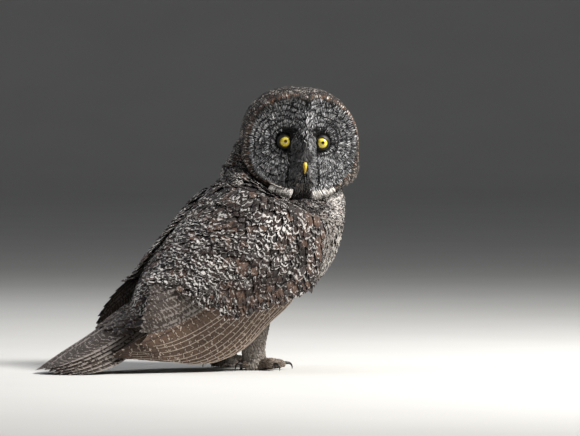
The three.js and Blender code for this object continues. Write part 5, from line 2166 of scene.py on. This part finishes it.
@dataclass
class Studio:
    """Camera, pale floor and backdrop, and soft light."""

    azimuth: float = -30.0
    elevation: float = 1.5
    distance: float = 8.0
    photo_width: float = 0.812
    aim_right: float = 0.0392
    aim_up: float = 0.210
    lit_height: float = 0.2
    floor_radius: float = 11.0
    bend_radius: float = 3.0
    wall: float = 8.0

    def camera(self, place: Place) -> None:
        """A long lens at the photograph's angle, level with the bird's breast."""
        data = bpy.data.cameras.new("camera")
        data.sensor_width = 36.0
        data.lens = data.sensor_width * self.distance / self.photo_width
        data.clip_end = 60.0
        target = Vector(place.offset) + way_to(self.azimuth + 90, 0) * self.aim_right + Vector((0, 0, self.aim_up))
        bpy.context.scene.camera = aimed("camera", data, target, way_to(self.azimuth, self.elevation) * self.distance)

    def lamp(
        self, name: str, azimuth: float, elevation: float, distance: float, size: float, power: float, colour: tuple
    ) -> None:
        """A square soft lamp aimed at the bird.

        Args:
            name: its name.
            azimuth: its direction round the bird, as the camera's.
            elevation: degrees above the floor.
            distance: metres.
            size: side of the square, metres.
            power: watts.
            colour: its tint.
        """
        data = bpy.data.lights.new(name, "AREA")
        data.shape = "SQUARE"
        data.size = size
        data.energy = power
        data.color = colour
        aimed(name, data, Vector((0, 0, self.lit_height)), way_to(azimuth, elevation) * distance)

    def room(self) -> None:
        """A floor that curves up into a backdrop on all sides."""
        bm = bmesh.new()
        bmesh.ops.create_circle(bm, cap_ends=True, segments=96, radius=self.floor_radius)
        rim = [edge for edge in bm.edges if edge.is_boundary]
        for angle in np.linspace(0, math.pi / 2, 13)[1:]:
            grown = bmesh.ops.extrude_edge_only(bm, edges=rim)["geom"]
            verts = [item for item in grown if isinstance(item, BMVert)]
            rim = [item for item in grown if isinstance(item, BMEdge)]
            for vert in verts:
                way = Vector((vert.co.x, vert.co.y, 0)).normalized()
                rise = Vector((0, 0, self.bend_radius * (1 - math.cos(angle))))
                vert.co = way * (self.floor_radius + self.bend_radius * math.sin(angle)) + rise
        grown = bmesh.ops.extrude_edge_only(bm, edges=rim)["geom"]
        verts = [item for item in grown if isinstance(item, BMVert)]
        bmesh.ops.translate(bm, vec=(0, 0, self.wall), verts=verts)
        bmesh.ops.recalc_face_normals(bm, faces=bm.faces)
        bmesh.ops.reverse_faces(bm, faces=bm.faces)
        mesh = bpy.data.meshes.new("studio_floor")
        bm.to_mesh(mesh)
        bm.free()
        mesh.shade_smooth()
        dye = Dye("studio_paper")
        place = dye.node("ShaderNodeTexCoord", "Object")
        grain = dye.grain(place, 3.0, 3.0)
        dye.put("Base Color", dye.mix(grain, tone(196, 195, 192), tone(206, 205, 202)))
        dye.put("Roughness", 0.9)
        mesh.materials.append(dye.material)
        floor = placed("studio_floor", mesh)

    def build(self, place: Place) -> None:
        """Everything that isn't the bird."""
        self.camera(place)
        self.room()
        self.lamp("key", 48, 46, 2.2, 0.55, 96, (1.0, 0.98, 0.95))
        self.lamp("fill", -128, 36, 3.0, 1.8, 34, (0.94, 0.96, 1.0))
        self.lamp("back", 165, 45, 2.6, 1.6, 12, (0.95, 0.97, 1.0))
        world = bpy.data.worlds.new("studio_air")
        world.use_nodes = True
        air = world.node_tree.nodes["Background"].inputs
        air["Color"].default_value = (0.75, 0.78, 0.82, 1.0)
        air["Strength"].default_value = 0.2
        bpy.context.scene.world = world
        bpy.context.scene.view_settings.view_transform = "Standard"


def main() -> None:
    """Builds the bird and its studio."""
    logging.basicConfig(level=logging.INFO, format="%(message)s")
    place = Place()
    Studio().build(place)
    coats = [*HeadPlumage().build(), *BodyPlumage().build()]
    for side in Side:
        coats += WingPlumage(side).build()
    coats += TailPlumage().build()
    coats += LegPlumage().build()
    for coat in coats:
        coat.finish_piece(place)
    Skin(place).build([root for coat in coats for root in coat.roots])
    Eyes(place).build()
    Bill(place).build()
    Claws(place).build()


if __name__ == "__main__":
    main()
